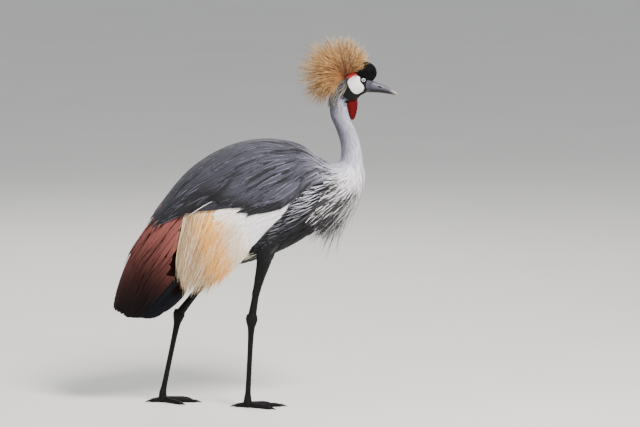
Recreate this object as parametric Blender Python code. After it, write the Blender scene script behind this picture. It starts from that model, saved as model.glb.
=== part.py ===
"""Grey crowned crane, standing in mid-stride, life size.

Metres, +Z up, bill towards +X, the bird's right side towards -Y, floor at z = 0.
Each named object is one closed solid. Touching solids keep GAP between them.
"""

import math

import bmesh
import bpy
import numpy as np

GAP = 0.0003
CLEARANCE = 0.00045
MITRE_LIMIT = 5.0
# How far a vane's edges droop, and the space left between vanes that overlap side by side.
CAMBER, VANE_SPACE = 0.0004, 0.0005
# Faces of a curved surface that meet at more than this angle stay creased.
CREASE_ANGLE = math.radians(40)
RNG = np.random.default_rng(41)
RIGHT, LEFT = -1, 1
SIDE_NAMES = {RIGHT: "right", LEFT: "left"}

# Colours, linear RGB, with roughness.
SLATE = ((0.10, 0.10, 0.13), 0.75)
PALE_GREY = ((0.55, 0.55, 0.62), 0.8)
BODY_GREY = ((0.22, 0.22, 0.26), 0.8)
BLACK = ((0.012, 0.012, 0.014), 0.85)
LEG_BLACK = ((0.02, 0.018, 0.02), 0.55)
BILL_GREY = ((0.13, 0.13, 0.16), 0.4)
SKIN_WHITE = ((0.85, 0.82, 0.83), 0.5)
SKIN_RED = ((0.5, 0.01, 0.015), 0.5)
EYE_PALE = ((0.62, 0.70, 0.74), 0.1)
GOLD = ((0.52, 0.33, 0.13), 0.7)
COVERT_WHITE = ((0.85, 0.84, 0.84), 0.8)
PLUME_GOLD = ((0.80, 0.58, 0.28), 0.75)
CHESTNUT = ((0.13, 0.035, 0.03), 0.7)
CLAW_BLACK = ((0.015, 0.014, 0.014), 0.35)

# Cross-sections of head, neck and torso, from the bill's root to the tail's root. Each holds the dorsal
# point (x, z), the ventral point (x, z), the half width and how far the widest level sits above the middle.
FLESH = [
    (0.2855, 0.7855, 0.2680, 0.7585, 0.0100, 0.00),
    (0.2770, 0.7970, 0.2660, 0.7575, 0.0155, 0.00),
    (0.2620, 0.8060, 0.2620, 0.7555, 0.0205, 0.00),
    (0.2410, 0.8110, 0.2560, 0.7520, 0.0230, 0.00),
    (0.2180, 0.8030, 0.2500, 0.7470, 0.0230, 0.00),
    (0.1990, 0.7820, 0.2430, 0.7395, 0.0220, 0.00),
    (0.1860, 0.7570, 0.2320, 0.7390, 0.0210, 0.00),
    (0.1810, 0.7310, 0.2215, 0.7340, 0.0200, 0.00),
    (0.1825, 0.7020, 0.2280, 0.6970, 0.0205, 0.00),
    (0.1970, 0.6670, 0.2435, 0.6640, 0.0215, 0.00),
    (0.2070, 0.6330, 0.2540, 0.6280, 0.0230, 0.00),
    (0.2075, 0.6030, 0.2600, 0.5920, 0.0270, 0.00),
    (0.2030, 0.5900, 0.2620, 0.5600, 0.0340, 0.00),
    (0.1885, 0.5855, 0.2570, 0.5300, 0.0430, 0.00),
    (0.1700, 0.5900, 0.2460, 0.5030, 0.0540, 0.00),
    (0.1430, 0.6060, 0.2240, 0.4720, 0.0650, 0.02),
    (0.1090, 0.6210, 0.1810, 0.4430, 0.0740, 0.04),
    (0.0710, 0.6300, 0.1330, 0.4160, 0.0810, 0.05),
    (0.0280, 0.6320, 0.0800, 0.3860, 0.0850, 0.06),
    (-0.0230, 0.6250, 0.0250, 0.3620, 0.0860, 0.06),
    (-0.0780, 0.6030, -0.0300, 0.3460, 0.0820, 0.06),
    (-0.1310, 0.5680, -0.0840, 0.3360, 0.0740, 0.05),
    (-0.1720, 0.5280, -0.1300, 0.3340, 0.0620, 0.04),
    (-0.2000, 0.4900, -0.1630, 0.3400, 0.0480, 0.02),
    (-0.2220, 0.4500, -0.1880, 0.3500, 0.0340, 0.00),
]
HEAD_END, NECK_MIDDLE, NECK_END, TORSO_END = 7, 11, 15, 24

# Cross-sections of the cloak that mantle and folded wings form: dorsal ridge (x, z), lower free edge (x, z)
# and half width. The edge lies EDGE_ANGLE round from the ridge.
EDGE_ANGLE = math.radians(130)
CLOAK = [
    (0.109, 0.635, 0.156, 0.543, 0.084),
    (0.071, 0.641, 0.109, 0.500, 0.094),
    (0.028, 0.645, 0.068, 0.465, 0.105),
    (-0.023, 0.639, 0.018, 0.419, 0.109),
    (-0.078, 0.620, -0.032, 0.361, 0.107),
    (-0.131, 0.589, -0.078, 0.329, 0.100),
    (-0.174, 0.5525, -0.116, 0.306, 0.091),
    (-0.208, 0.511, -0.155, 0.286, 0.081),
    (-0.239, 0.4695, -0.169, 0.265, 0.071),
    (-0.272, 0.422, -0.184, 0.247, 0.062),
    (-0.304, 0.369, -0.203, 0.229, 0.054),
    (-0.328, 0.306, -0.227, 0.213, 0.047),
    (-0.3415, 0.247, -0.260, 0.212, 0.041),
    (-0.337, 0.225, -0.299, 0.216, 0.037),
]


def clear_scene():
    for old in list(bpy.data.objects):
        bpy.data.objects.remove(old, do_unlink=True)


def material_of(name, look):
    colour, roughness = look
    made = bpy.data.materials.new(name)
    made.use_nodes = True
    shader = made.node_tree.nodes["Principled BSDF"]
    shader.inputs["Base Color"].default_value = (*colour, 1.0)
    shader.inputs["Roughness"].default_value = roughness
    shader.inputs["Metallic"].default_value = 0.0
    return made


def mesh_object(name, shape):
    """A closed mesh object with outward faces from (points, faces)."""
    points, faces = shape
    mesh = bpy.data.meshes.new(name)
    mesh.from_pydata([tuple(float(c) for c in p) for p in points], [], [tuple(f) for f in faces])
    work = bmesh.new()
    work.from_mesh(mesh)
    bmesh.ops.recalc_face_normals(work, faces=work.faces)
    bmesh.ops.triangulate(work, faces=work.faces)
    work.to_mesh(mesh)
    work.free()
    made = bpy.data.objects.new(name, mesh)
    bpy.context.scene.collection.objects.link(made)
    return made


def volume_of(faces):
    """Signed volume that a set of triangles encloses."""
    return sum(f.verts[0].co.dot(f.verts[1].co.cross(f.verts[2].co)) for f in faces) / 6


def keep_largest(made):
    """Drops every closed surface but the one that holds the most."""
    work = bmesh.new()
    work.from_mesh(made.data)
    bmesh.ops.triangulate(work, faces=work.faces)
    left, islands = set(work.faces), []
    while left:
        island, edge = set(), [next(iter(left))]
        while edge:
            face = edge.pop()
            if face in island:
                continue
            island.add(face)
            edge += [near for e in face.edges for near in e.link_faces if near not in island]
        left -= island
        islands.append(island)
    islands.sort(key=volume_of)
    loose = [face for island in islands[:-1] for face in island]
    bmesh.ops.delete(work, geom=loose, context="FACES")
    work.to_mesh(made.data)
    work.free()


def apply_boolean(made, others, operation):
    """Joins or cuts made by the closed mesh objects in others, which are then removed."""
    group = bpy.data.collections.new("operands")
    bpy.context.scene.collection.children.link(group)
    for other in others:
        for home in list(other.users_collection):
            home.objects.unlink(other)
        group.objects.link(other)
    modifier = made.modifiers.new(operation.lower(), "BOOLEAN")
    modifier.operation = operation
    modifier.operand_type = "COLLECTION"
    modifier.collection = group
    modifier.solver = "MANIFOLD"
    graph = bpy.context.evaluated_depsgraph_get()
    result = bpy.data.meshes.new_from_object(made.evaluated_get(graph))
    made.modifiers.clear()
    made.data = result
    for other in others:
        bpy.data.objects.remove(other, do_unlink=True)
    bpy.data.collections.remove(group)
    keep_largest(made)


def swollen(shape):
    """A cutter: the shape with its skin moved out by the clearance that its neighbours keep."""
    made = mesh_object("cutter", shape)
    work = bmesh.new()
    work.from_mesh(made.data)
    work.normal_update()
    for vertex in work.verts:
        vertex.co += vertex.normal * CLEARANCE * min(vertex.calc_shell_factor(), MITRE_LIMIT)
    work.to_mesh(made.data)
    work.free()
    return made


def build(name, pieces, look, clear_of=(), less=()):
    """One node: pieces joined, then cut clear of the pieces in clear_of and by the shapes in less."""
    made = mesh_object(name, pieces[0])
    if len(pieces) > 1:
        apply_boolean(made, [mesh_object("piece", piece) for piece in pieces[1:]], "UNION")
    cutters = [swollen(piece) for near in clear_of for piece in near]
    cutters += [mesh_object("cutter", shape) for shape in less]
    if cutters:
        apply_boolean(made, cutters, "DIFFERENCE")
    made.name = name
    made.data.name = name
    made.data.materials.clear()
    made.data.materials.append(material_of(name, look))
    made.data.shade_smooth()
    made.data.set_sharp_from_angle(angle=CREASE_ANGLE)
    return pieces


def spline(rows, at):
    """Catmull-Rom value at a row number that need not be whole, carried on straight past the ends."""
    table = np.asarray(rows, float)
    last = len(table) - 1
    if at < 0:
        return table[0] + (table[1] - table[0]) * at
    if at > last:
        return table[last] + (table[last] - table[last - 1]) * (at - last)
    i = min(int(at), len(table) - 2)
    f = at - i
    before, here, after = table[max(i - 1, 0)], table[i], table[i + 1]
    beyond = table[min(i + 2, len(table) - 1)]
    bend = 2 * before - 5 * here + 4 * after - beyond
    twist = 3 * here - before - 3 * after + beyond
    return 0.5 * (2 * here + (after - before) * f + bend * f**2 + twist * f**3)


def flesh_point(at, turn):
    """A point of the skin: turn is 0 on the back, 1 on the belly, negative on the right side."""
    top_x, top_z, low_x, low_z, half_width, high = spline(FLESH, at)
    up, out = math.cos(math.pi * turn), math.sin(math.pi * turn)
    x = (top_x + low_x) / 2 + (top_x - low_x) / 2 * up
    z = (top_z + low_z) / 2 + (top_z - low_z) / 2 * up
    return np.array([x, half_width * out * (1 + high * up), z])


def cloak_surface(at, turn):
    """A point of the cloak: turn is 0 on the ridge, 1 at the free edge of the left side."""
    top_x, top_z, edge_x, edge_z, half_width = spline(CLOAK, at)
    angle = EDGE_ANGLE * turn
    reach = 1 - math.cos(EDGE_ANGLE)
    share = (1 - math.cos(angle)) / reach
    x = top_x + (edge_x - top_x) * share
    z = top_z + (edge_z - top_z) * share
    return np.array([x, half_width * math.sin(angle), z])


def cloak_width(at):
    return spline(CLOAK, at)[4]


RATE_STEP = 0.02


def surface_frame(surface, at, turn):
    """Position, the two rates of change and the outward normal of a surface."""
    step = RATE_STEP
    along = (surface(at + step, turn) - surface(at - step, turn)) / (2 * step)
    around = (surface(at, turn + step) - surface(at, turn - step)) / (2 * step)
    normal = np.cross(around, along)
    return surface(at, turn), along, around, normal / np.linalg.norm(normal)


def cloak_point(at, turn, depth, side):
    """A point at that depth under the cloak, on the side given."""
    place, _, _, normal = surface_frame(cloak_surface, at, turn)
    return (place - normal * depth) * np.array([1, side, 1])


def feather(surface, path, half_widths, heights, thickness, camber=0.0, side=1):
    """A blade that follows a surface.

    path holds (at, turn) stations, the last being the tip. heights are those of the crown line above the
    surface. A blade with camber has six-sided sections and drooping edges, one without is a diamond.
    """
    centres = [surface(at, turn) for at, turn in path]
    rings = []
    for i, (at, turn) in enumerate(path):
        place, along, around, normal = surface_frame(surface, at, turn)
        heading = centres[min(i + 1, len(path) - 1)] - centres[max(i - 1, 0)]
        across = np.cross(normal, heading)
        across /= np.linalg.norm(across)
        thick, height = thickness[i], heights[i]
        if i == len(path) - 1:
            rings.append([place + normal * (height - thick / 2)])
            break
        shift = np.linalg.lstsq(np.stack([along, around], 1), across * half_widths[i], rcond=None)[0]
        edges = []
        for sign in (-1, 1):
            spot, _, _, up = surface_frame(surface, at + sign * shift[0], turn + sign * shift[1])
            edges.append((spot, up))
        (left, left_up), (right, right_up) = edges
        crown, keel = place + normal * height, place + normal * (height - thick)
        if camber:
            high, low = height - camber, height - camber - thick * 0.7
            rings.append([
                left + left_up * high, crown, right + right_up * high,
                right + right_up * low, keel, left + left_up * low,
            ])
        else:
            middle = height - thick / 2
            rings.append([left + left_up * middle, crown, right + right_up * middle, keel])
    points = [p * np.array([1, side, 1]) for ring in rings for p in ring]
    return points, blade_faces(len(rings) - 1, len(rings[0]))


def blade_faces(count, around):
    """Faces of a blade with count rings of around points and a tip, its two sides split alike."""
    half, faces = around // 2, []
    for i in range(count - 1):
        for j in range(around):
            a, b = i * around + j, i * around + (j + 1) % around
            if j < half:
                faces += [(a, b, b + around), (a, b + around, a + around)]
            else:
                faces += [(a, b, a + around), (b, b + around, a + around)]
    tip, last = count * around, (count - 1) * around
    faces += [(last + j, last + (j + 1) % around, tip) for j in range(around)]
    if around == 6:
        faces += [(0, 5, 4), (0, 4, 1), (1, 4, 3), (1, 3, 2)]
    elif around == 4:
        faces += [(0, 3, 2), (0, 2, 1)]
    else:
        faces.append(tuple(range(around))[::-1])
    return faces


def strand(path, radii, around=3):
    """A free tapering strand along points in space, ending in a tip."""
    path = [np.asarray(p, float) for p in path]
    points = []
    heading = path[-1] - path[0]
    first = np.cross(heading, np.array([0.31, 0.84, 0.44]))
    first /= np.linalg.norm(first)
    for i, (place, radius) in enumerate(zip(path[:-1], radii)):
        ahead = path[i + 1] - path[max(i - 1, 0)]
        ahead /= np.linalg.norm(ahead)
        second = np.cross(ahead, first)
        second /= np.linalg.norm(second)
        third = np.cross(second, ahead)
        for j in range(around):
            a = 2 * math.pi * j / around
            points.append(place + (third * math.cos(a) + second * math.sin(a)) * radius)
    points.append(path[-1])
    return points, blade_faces(len(path) - 1, around)


def varied(value, share):
    return value * (1 + share * RNG.uniform(-1, 1))


def closed_loft(rings):
    """Rings of equally many points, joined and capped."""
    count = len(rings[0])
    points = [p for ring in rings for p in ring]
    faces = []
    for i in range(len(rings) - 1):
        for j in range(count):
            a, b = i * count + j, i * count + (j + 1) % count
            faces.append((a, b, b + count, a + count))
    faces.append(tuple(range(count))[::-1])
    faces.append(tuple(range(len(points) - count, len(points))))
    return points, faces


def flesh_loft(first, last, rings, sides):
    """The part of the flesh between two section numbers."""
    turns = [2 * j / sides for j in range(sides)]
    return closed_loft([[flesh_point(at, turn) for turn in turns] for at in np.linspace(first, last, rings)])


def section_gap(at):
    """How many sections GAP is, near that section."""
    here, there = spline(FLESH, at), spline(FLESH, at + 0.1)
    moved = np.abs((there - here)[:4]).reshape(2, 2)
    return 0.1 * GAP / np.linalg.norm(moved, axis=1).min()


def shell(first, last, turns, depths, side, rings=8, strips=6):
    """A closed curved slab under the cloak. turns(at) are its two edges, depths(at, turn) its two faces."""
    outer, inner = [], []
    for at in np.linspace(first, last, rings):
        low, high = turns(at)
        for turn in np.linspace(low, high, strips):
            top, under = depths(at, turn)
            outer.append(cloak_point(at, turn, top, side))
            inner.append(cloak_point(at, turn, under, side))
    faces = []
    size = rings * strips
    for i in range(rings - 1):
        for j in range(strips - 1):
            a, b = i * strips + j, i * strips + j + 1
            c, d = b + strips, a + strips
            faces += [(a, b, c), (a, c, d), (a + size, c + size, b + size), (a + size, d + size, c + size)]
    rim = [i * strips for i in range(rings)]
    rim += [(rings - 1) * strips + j for j in range(1, strips)]
    rim += [i * strips + strips - 1 for i in range(rings - 2, -1, -1)]
    rim += [j for j in range(strips - 2, 0, -1)]
    for k, a in enumerate(rim):
        b = rim[(k + 1) % len(rim)]
        faces.append((a, b, b + size, a + size))
    return outer + inner, faces


# Where a vane's three sections and its tip lie along it, and how thick each is against its blade.
VANE_SHARES = (0.0, 0.42, 0.80, 1.0)
VANE_TAPER = (1.3, 1.2, 1.0, 0.8)
ROOT_WIDTH = 0.6
TURN_SCATTER = 0.008


def tier(at, turns, reach, drift, half_width, rise, side=1, thick=0.0010, sunk=0.0054, blunt=0.70):
    """A row of vanes on the cloak whose roots lie at one station. Every other one lies a step higher."""
    vanes = []
    for i, turn in enumerate(turns):
        start = at + RNG.uniform(-0.05, 0.05) * reach
        length = varied(reach, 0.07)
        sweep = drift * math.copysign(1, turn) + RNG.uniform(-TURN_SCATTER, TURN_SCATTER)
        wide = varied(half_width, 0.06) / cloak_width(start)
        lift = (thick * VANE_TAPER[0] + VANE_SPACE) * (i % 2)
        path = [(start + length * f, turn + sweep * f) for f in VANE_SHARES]
        widths = [wide * share * cloak_width(on) for share, (on, _) in zip((ROOT_WIDTH, 1.0, blunt), path)]
        heights = [rise * f**0.7 - sunk + lift * min(1, 2.5 * f) for f in VANE_SHARES]
        thickness = [thick * share for share in VANE_TAPER]
        vanes.append(feather(cloak_surface, path, widths, heights, thickness, CAMBER, side))
    return vanes


def spread(low, high, count, shift=0.0):
    """Evenly spaced turns, moved along by a share of their spacing."""
    step = (high - low) / count
    return [low + step * (i + 0.5 + shift) for i in range(count)]


def ellipsoid(centre, radii, tilt=0.0, rings=8, sides=14):
    """An ellipsoid whose length is tilted in the XZ plane."""
    points, faces = [], []
    for i in range(1, rings):
        polar = math.pi * i / rings
        for j in range(sides):
            round_ = 2 * math.pi * j / sides
            wide = math.sin(polar)
            points.append((wide * math.cos(round_), wide * math.sin(round_), math.cos(polar)))
    points += [(0, 0, 1), (0, 0, -1)]
    for i in range(rings - 2):
        for j in range(sides):
            a, b = i * sides + j, i * sides + (j + 1) % sides
            faces.append((a, b, b + sides, a + sides))
    top, low = len(points) - 2, len(points) - 1
    last = (rings - 2) * sides
    for j in range(sides):
        faces.append((top, (j + 1) % sides, j))
        faces.append((low, last + j, last + (j + 1) % sides))
    cos, sin = math.cos(tilt), math.sin(tilt)
    placed = []
    for x, y, z in points:
        x, y, z = x * radii[0], y * radii[1], z * radii[2]
        placed.append((centre[0] + x * cos - z * sin, centre[1] + y, centre[2] + x * sin + z * cos))
    return placed, faces


def limb(centres, radii, sides=10):
    """A tube along centres, with (fore-aft, sideways) radii, square to its path."""
    centres = [np.array(c, float) for c in centres]
    rings = []
    for i, (centre, (front, wide)) in enumerate(zip(centres, radii)):
        along = centres[min(i + 1, len(centres) - 1)] - centres[max(i - 1, 0)]
        along /= np.linalg.norm(along)
        ahead = np.cross(np.array([0.0, 1.0, 0.0]), along)
        ahead /= np.linalg.norm(ahead)
        across = np.cross(along, ahead)
        rings.append([
            centre + ahead * front * math.cos(a) + across * wide * math.sin(a)
            for a in (2 * math.pi * j / sides for j in range(sides))
        ])
    return closed_loft(rings)


# Head

HEAD_START = 0.006
EYE_CENTRE = (0.2600, 0.0142, 0.7895)
EYE_RADIUS = 0.0066
LID_RADIUS, LID_THICKNESS, LID_FLATNESS, LID_SIDEWAYS = 0.0064, 0.0014, 0.86, 0.0180
# Room left round the eye by cap and cheek.
CAP_ROOM, CHEEK_ROOM = 0.0030, 0.0034


def lid_ring(side, around=8, across=4):
    """The lids: a ring that faces sideways."""
    points, faces = [], []
    for i in range(around):
        a = 2 * math.pi * i / around
        for j in range(across):
            b = 2 * math.pi * j / across
            r = LID_RADIUS + LID_THICKNESS * math.cos(b)
            points.append((
                EYE_CENTRE[0] + r * math.cos(a),
                side * (LID_SIDEWAYS + LID_THICKNESS * math.sin(b)),
                EYE_CENTRE[2] + r * LID_FLATNESS * math.sin(a),
            ))
    for i in range(around):
        for j in range(across):
            a, b = i * across + j, i * across + (j + 1) % across
            c, d = (b + across) % (around * across), (a + across) % (around * across)
            faces.append((a, b, c, d))
    return points, faces


def eye_shape(side, swell=0.0):
    x, y, z = EYE_CENTRE
    radius = EYE_RADIUS + swell
    return ellipsoid((x, side * y, z), (radius,) * 3, rings=6, sides=10)


def make_head():
    pieces = [flesh_loft(HEAD_START, HEAD_END - section_gap(HEAD_END), 10, 12)]
    pieces += [lid_ring(side) for side in (RIGHT, LEFT)]
    sockets = [eye_shape(side, GAP) for side in (RIGHT, LEFT)]
    for side in (RIGHT, LEFT):
        build(f"eye_{SIDE_NAMES[side]}", [eye_shape(side)], EYE_PALE)
    return build("head", pieces, BLACK, less=sockets)


# Bill: culmen (x, z), mouth line (x, z), lower edge (x, z), half width, from root to tip.
BILL = [
    (0.2859, 0.7851, 0.2716, 0.7672, 0.2684, 0.7583, 0.0098),
    (0.2930, 0.7822, 0.2850, 0.7660, 0.2830, 0.7580, 0.0088),
    (0.3030, 0.7785, 0.3000, 0.7643, 0.2990, 0.7573, 0.0074),
    (0.3160, 0.7728, 0.3150, 0.7614, 0.3150, 0.7556, 0.0056),
    (0.3280, 0.7655, 0.3275, 0.7578, 0.3275, 0.7533, 0.0038),
    (0.3375, 0.7590, 0.3370, 0.7550, 0.3365, 0.7522, 0.0022),
    (0.3422, 0.7548, 0.3412, 0.7535, 0.3400, 0.7521, 0.0009),
]
NOSTRIL = (0.3010, 0.0068, 0.7718)
NOSTRIL_RADII = (0.0042, 0.0022, 0.0016)
NOSTRIL_TILT = math.radians(-22)


def mandible(upper):
    """Half a bill: a rounded roof or keel over the flat mouth line."""
    rings = []
    for culmen_x, culmen_z, mouth_x, mouth_z, low_x, low_z, half_width in BILL:
        ridge = np.array([culmen_x, 0, culmen_z] if upper else [low_x, 0, low_z])
        mouth = np.array([mouth_x, 0, mouth_z + (GAP if upper else -GAP)])
        wide = half_width * (1.0 if upper else 0.92)
        ring = [mouth + np.array([0, wide * share, 0]) for share in (-1, -0.5, 0.5, 1)]
        for angle in np.linspace(30, 150, 5):
            a = math.radians(angle)
            ring.append(mouth + (ridge - mouth) * math.sin(a) + np.array([0, wide * math.cos(a), 0]))
        rings.append(ring)
    return closed_loft(rings)


def make_bill(head):
    nostrils = [
        ellipsoid((NOSTRIL[0], side * NOSTRIL[1], NOSTRIL[2]), NOSTRIL_RADII, NOSTRIL_TILT, 5, 8)
        for side in (RIGHT, LEFT)
    ]
    build("bill_upper", [mandible(True)], BILL_GREY, clear_of=[head], less=nostrils)
    build("bill_lower", [mandible(False)], BILL_GREY, clear_of=[head])


CAP_CENTRE, CAP_RADII, CAP_TILT = (0.2665, 0, 0.8065), (0.0265, 0.0205, 0.0245), -0.244
CHEEK_CENTRE, CHEEK_RADII, CHEEK_TILT = (0.2425, 0.0200, 0.7765), (0.0205, 0.0062, 0.0245), 0.175
TEMPLE_CENTRE, TEMPLE_RADII, TEMPLE_TILT = (0.2350, 0.0150, 0.8045), (0.0095, 0.0050, 0.0065), -0.611


def make_face(head):
    """Velvet cap on the forehead, bare cheek skin and the red patch above it."""
    rooms = [eye_shape(side, CAP_ROOM) for side in (RIGHT, LEFT)]
    cap = [ellipsoid(CAP_CENTRE, CAP_RADII, CAP_TILT, 7, 12)]
    build("cap", cap, BLACK, clear_of=[head], less=rooms)
    for side in (RIGHT, LEFT):
        place = (CHEEK_CENTRE[0], side * CHEEK_CENTRE[1], CHEEK_CENTRE[2])
        cheek = build(
            f"cheek_{SIDE_NAMES[side]}",
            [ellipsoid(place, CHEEK_RADII, CHEEK_TILT, 6, 10)],
            SKIN_WHITE,
            clear_of=[head, cap],
            less=[eye_shape(side, CHEEK_ROOM)],
        )
        place = (TEMPLE_CENTRE[0], side * TEMPLE_CENTRE[1], TEMPLE_CENTRE[2])
        build(
            f"temple_patch_{SIDE_NAMES[side]}",
            [ellipsoid(place, TEMPLE_RADII, TEMPLE_TILT, 5, 8)],
            SKIN_RED,
            clear_of=[head, cap, cheek],
        )
    return cap


WATTLE_TOP, WATTLE_TIP = (0.2325, 0.7400), (0.2342, 0.6925)
WATTLE_LENGTH, WATTLE_WIDTH, WATTLE_FOLD = 0.0118, 0.0080, 0.16


def make_wattle(head, neck):
    """Throat wattle: a flattened drop, folded along its front."""
    rings = []
    for share in np.linspace(0, 1, 7):
        swell = math.sin(math.pi * (0.12 + 0.88 * (1 - share) ** 0.8) * 0.62)
        middle_x = WATTLE_TOP[0] + (WATTLE_TIP[0] - WATTLE_TOP[0]) * share
        middle_z = WATTLE_TOP[1] + (WATTLE_TIP[1] - WATTLE_TOP[1]) * share
        ring = []
        for j in range(9):
            a = 2 * math.pi * j / 9
            fold = 1 + WATTLE_FOLD * math.cos(3 * a)
            ring.append(np.array([
                middle_x + WATTLE_LENGTH * swell * fold * math.cos(a),
                WATTLE_WIDTH * swell * fold * math.sin(a),
                middle_z,
            ]))
        rings.append(ring)
    build("throat_wattle", [closed_loft(rings)], SKIN_RED, clear_of=[head, neck])


CREST_ROOT = np.array([0.2180, 0.0, 0.8030])
CREST_CORE = ((0.2040, 0.0, 0.8165), (0.0300, 0.0250, 0.0270), math.radians(40))
CREST_STRANDS = 80
CREST_ROOT_RADIUS, CREST_RADIUS, CREST_DROOP = 0.0010, 0.0023, 0.008
# Strands that point below this angle bow back to pass behind the nape.
BOW_ANGLE, BOW = 205, np.array([-0.008, 0, 0.003])
# Reach of the crest against the angle from straight ahead, in degrees, as seen from the side.
CREST_REACH = [(40, 0.062), (60, 0.074), (90, 0.095), (135, 0.117), (180, 0.129), (210, 0.121), (236, 0.095)]
CREST_SPAN = (42, 234)
CREST_SPLAY = math.radians(52)


def crest_strands():
    """Stiff bundles of bristles that fan from the nape over half a ball."""
    angles, reaches = zip(*CREST_REACH)
    strands = []
    golden = math.pi * (3 - math.sqrt(5))
    for i in range(CREST_STRANDS):
        share = (i + 0.5) / CREST_STRANDS
        angle = CREST_SPAN[0] + (CREST_SPAN[1] - CREST_SPAN[0]) * share + RNG.uniform(-2, 2)
        splay = CREST_SPLAY * math.sin(i * golden) * RNG.uniform(0.9, 1.1)
        reach = float(np.interp(angle, angles, reaches)) * RNG.uniform(0.88, 1.03)
        reach *= 1 - 0.14 * (splay / CREST_SPLAY) ** 2
        a = math.radians(angle)
        ahead = np.array([math.cos(a) * math.cos(splay), math.sin(splay), math.sin(a) * math.cos(splay)])
        droop = np.array([0, 0, -CREST_DROOP]) * RNG.uniform(0.3, 1.0)
        root = CREST_ROOT + ahead * reach * 0.12
        bow = BOW * max(0.0, (angle - BOW_ANGLE) / 30)
        middle = root + bow + ahead * reach * 0.56 + droop * 0.2
        tip = root + ahead * reach * 0.88 + droop
        radii = (CREST_ROOT_RADIUS, varied(CREST_RADIUS, 0.15))
        strands.append(strand([root + bow * 0.5, middle, tip], radii))
    return strands


def make_crest(head, cap):
    build("crest", [ellipsoid(*CREST_CORE, 8, 12), *crest_strands()], GOLD, clear_of=[head, cap])


# Hackles. How deep their roots lie, and how far the lowest ones hang off the breast at the tip.
HACKLE_ROOT, HACKLE_HANG = 0.0045, 0.045
HACKLE_HALF_WIDTH = 0.0056
# Rows: section of the roots, how far they reach in sections, how many on each side.
HACKLE_ROWS = [(11.4, 2.3, 3), (12.4, 2.4, 4), (13.3, 2.5, 4), (14.0, 2.6, 5)]
HACKLE_TURNS = (0.31, 1.0)
HACKLE_SHARES = (0.0, 0.28, 0.68, 1.0)
LOCK_THICKNESS = (0.0026, 0.0024, 0.0017, 0.0010)


def hackle(at, turn, reach, hang, half_width):
    """A long plume of the lower neck, which follows the breast and lifts off towards its tip."""
    path = [(at + reach * f, turn * (1 - 0.10 * f * hang / HACKLE_HANG)) for f in HACKLE_SHARES]
    heights = [-HACKLE_ROOT, 0.0030, 0.0048 + hang * 0.45, 0.0045 + hang]
    widths = [half_width * 0.55, half_width, half_width * 0.72]
    return feather(flesh_point, path, widths, heights, LOCK_THICKNESS)


def make_neck(torso_pieces):
    upper = build(
        "neck_upper",
        [flesh_loft(HEAD_END + section_gap(HEAD_END), NECK_MIDDLE - section_gap(NECK_MIDDLE), 6, 12)],
        PALE_GREY,
    )
    pieces = [flesh_loft(NECK_MIDDLE + section_gap(NECK_MIDDLE), NECK_END - section_gap(NECK_END), 6, 14)]
    for row, (at, reach, count) in enumerate(HACKLE_ROWS):
        for i, turn in enumerate(spread(*HACKLE_TURNS, count, 0.25 if row % 2 else -0.1)):
            hang = HACKLE_HANG * max(0.0, (turn - 0.55) / 0.45) ** 1.5 * (row + 1) / len(HACKLE_ROWS)
            hang += 0.0026 * (len(HACKLE_ROWS) - 1 - row) + 0.0018 * (i % 2)
            for side in (RIGHT, LEFT):
                pieces.append(hackle(
                    at + RNG.uniform(-0.12, 0.12), side * (turn + RNG.uniform(-0.012, 0.012)),
                    varied(reach, 0.12), varied(hang, 0.2), varied(HACKLE_HALF_WIDTH, 0.12),
                ))
    lower = build("neck_lower", pieces, PALE_GREY, clear_of=[torso_pieces])
    return upper, lower


# Flank plumes lie along the torso under the wing: section and turn of each root.
FLANK_ROWS = [(15.4, 0.53), (15.5, 0.61), (15.7, 0.69), (16.4, 0.63), (16.6, 0.71), (17.3, 0.68)]
FLANK_REACH, FLANK_RISE, FLANK_HALF_WIDTH, FLANK_STEP = 1.9, -0.05, 0.0065, 0.0022
FLANK_SHARES = (0.0, 0.4, 0.8, 1.0)
FLANK_THICKNESS = (0.0030, 0.0024, 0.0018, 0.0011)


def make_torso():
    pieces = [flesh_loft(NECK_END + section_gap(NECK_END), TORSO_END, 10, 16)]
    for i, (at, turn) in enumerate(FLANK_ROWS):
        for side in (RIGHT, LEFT):
            path = [(at + FLANK_REACH * f, side * (turn + FLANK_RISE * f)) for f in FLANK_SHARES]
            wide, lift = varied(FLANK_HALF_WIDTH, 0.1), FLANK_STEP * (i % 2)
            heights = [-0.0045, 0.0022 + lift, 0.0030 + lift, 0.0030 + lift]
            widths = [wide * ROOT_WIDTH, wide, wide * 0.7]
            pieces.append(feather(flesh_point, path, widths, heights, FLANK_THICKNESS))
    return build("torso", pieces, BODY_GREY)


# Folded wing. Section numbers are those of CLOAK, turns run from ridge to free edge.

# Where the mantle ends: section and turn.
MANTLE_LOW = [
    (0, 0.96), (1, 0.95), (2, 0.88), (3, 0.78), (4, 0.63), (5, 0.52), (6, 0.49), (7, 0.41), (8, 0.27),
]
MANTLE_SPAN, MANTLE_INSET = (-0.5, 6.9), 0.06
# Tiers of mantle vanes: station of the roots, reach, how many on each side, half width, root depth.
MANTLE_TIERS = [
    (0.00, 2.1, 3, 0.0235, 0.0110), (1.1, 2.4, 3, 0.0250, 0.0054), (2.6, 2.4, 3, 0.0225, 0.0054),
    (4.1, 2.3, 2, 0.0230, 0.0054), (5.6, 2.3, 2, 0.0190, 0.0054),
]
MANTLE_DRIFT, TIP_HEIGHT = 0.035, 0.0016
# Depth of whatever passes under the mantle, and of what lies open.
UNDER_MANTLE, OPEN_DEPTH = 0.0092, 0.0042

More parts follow.
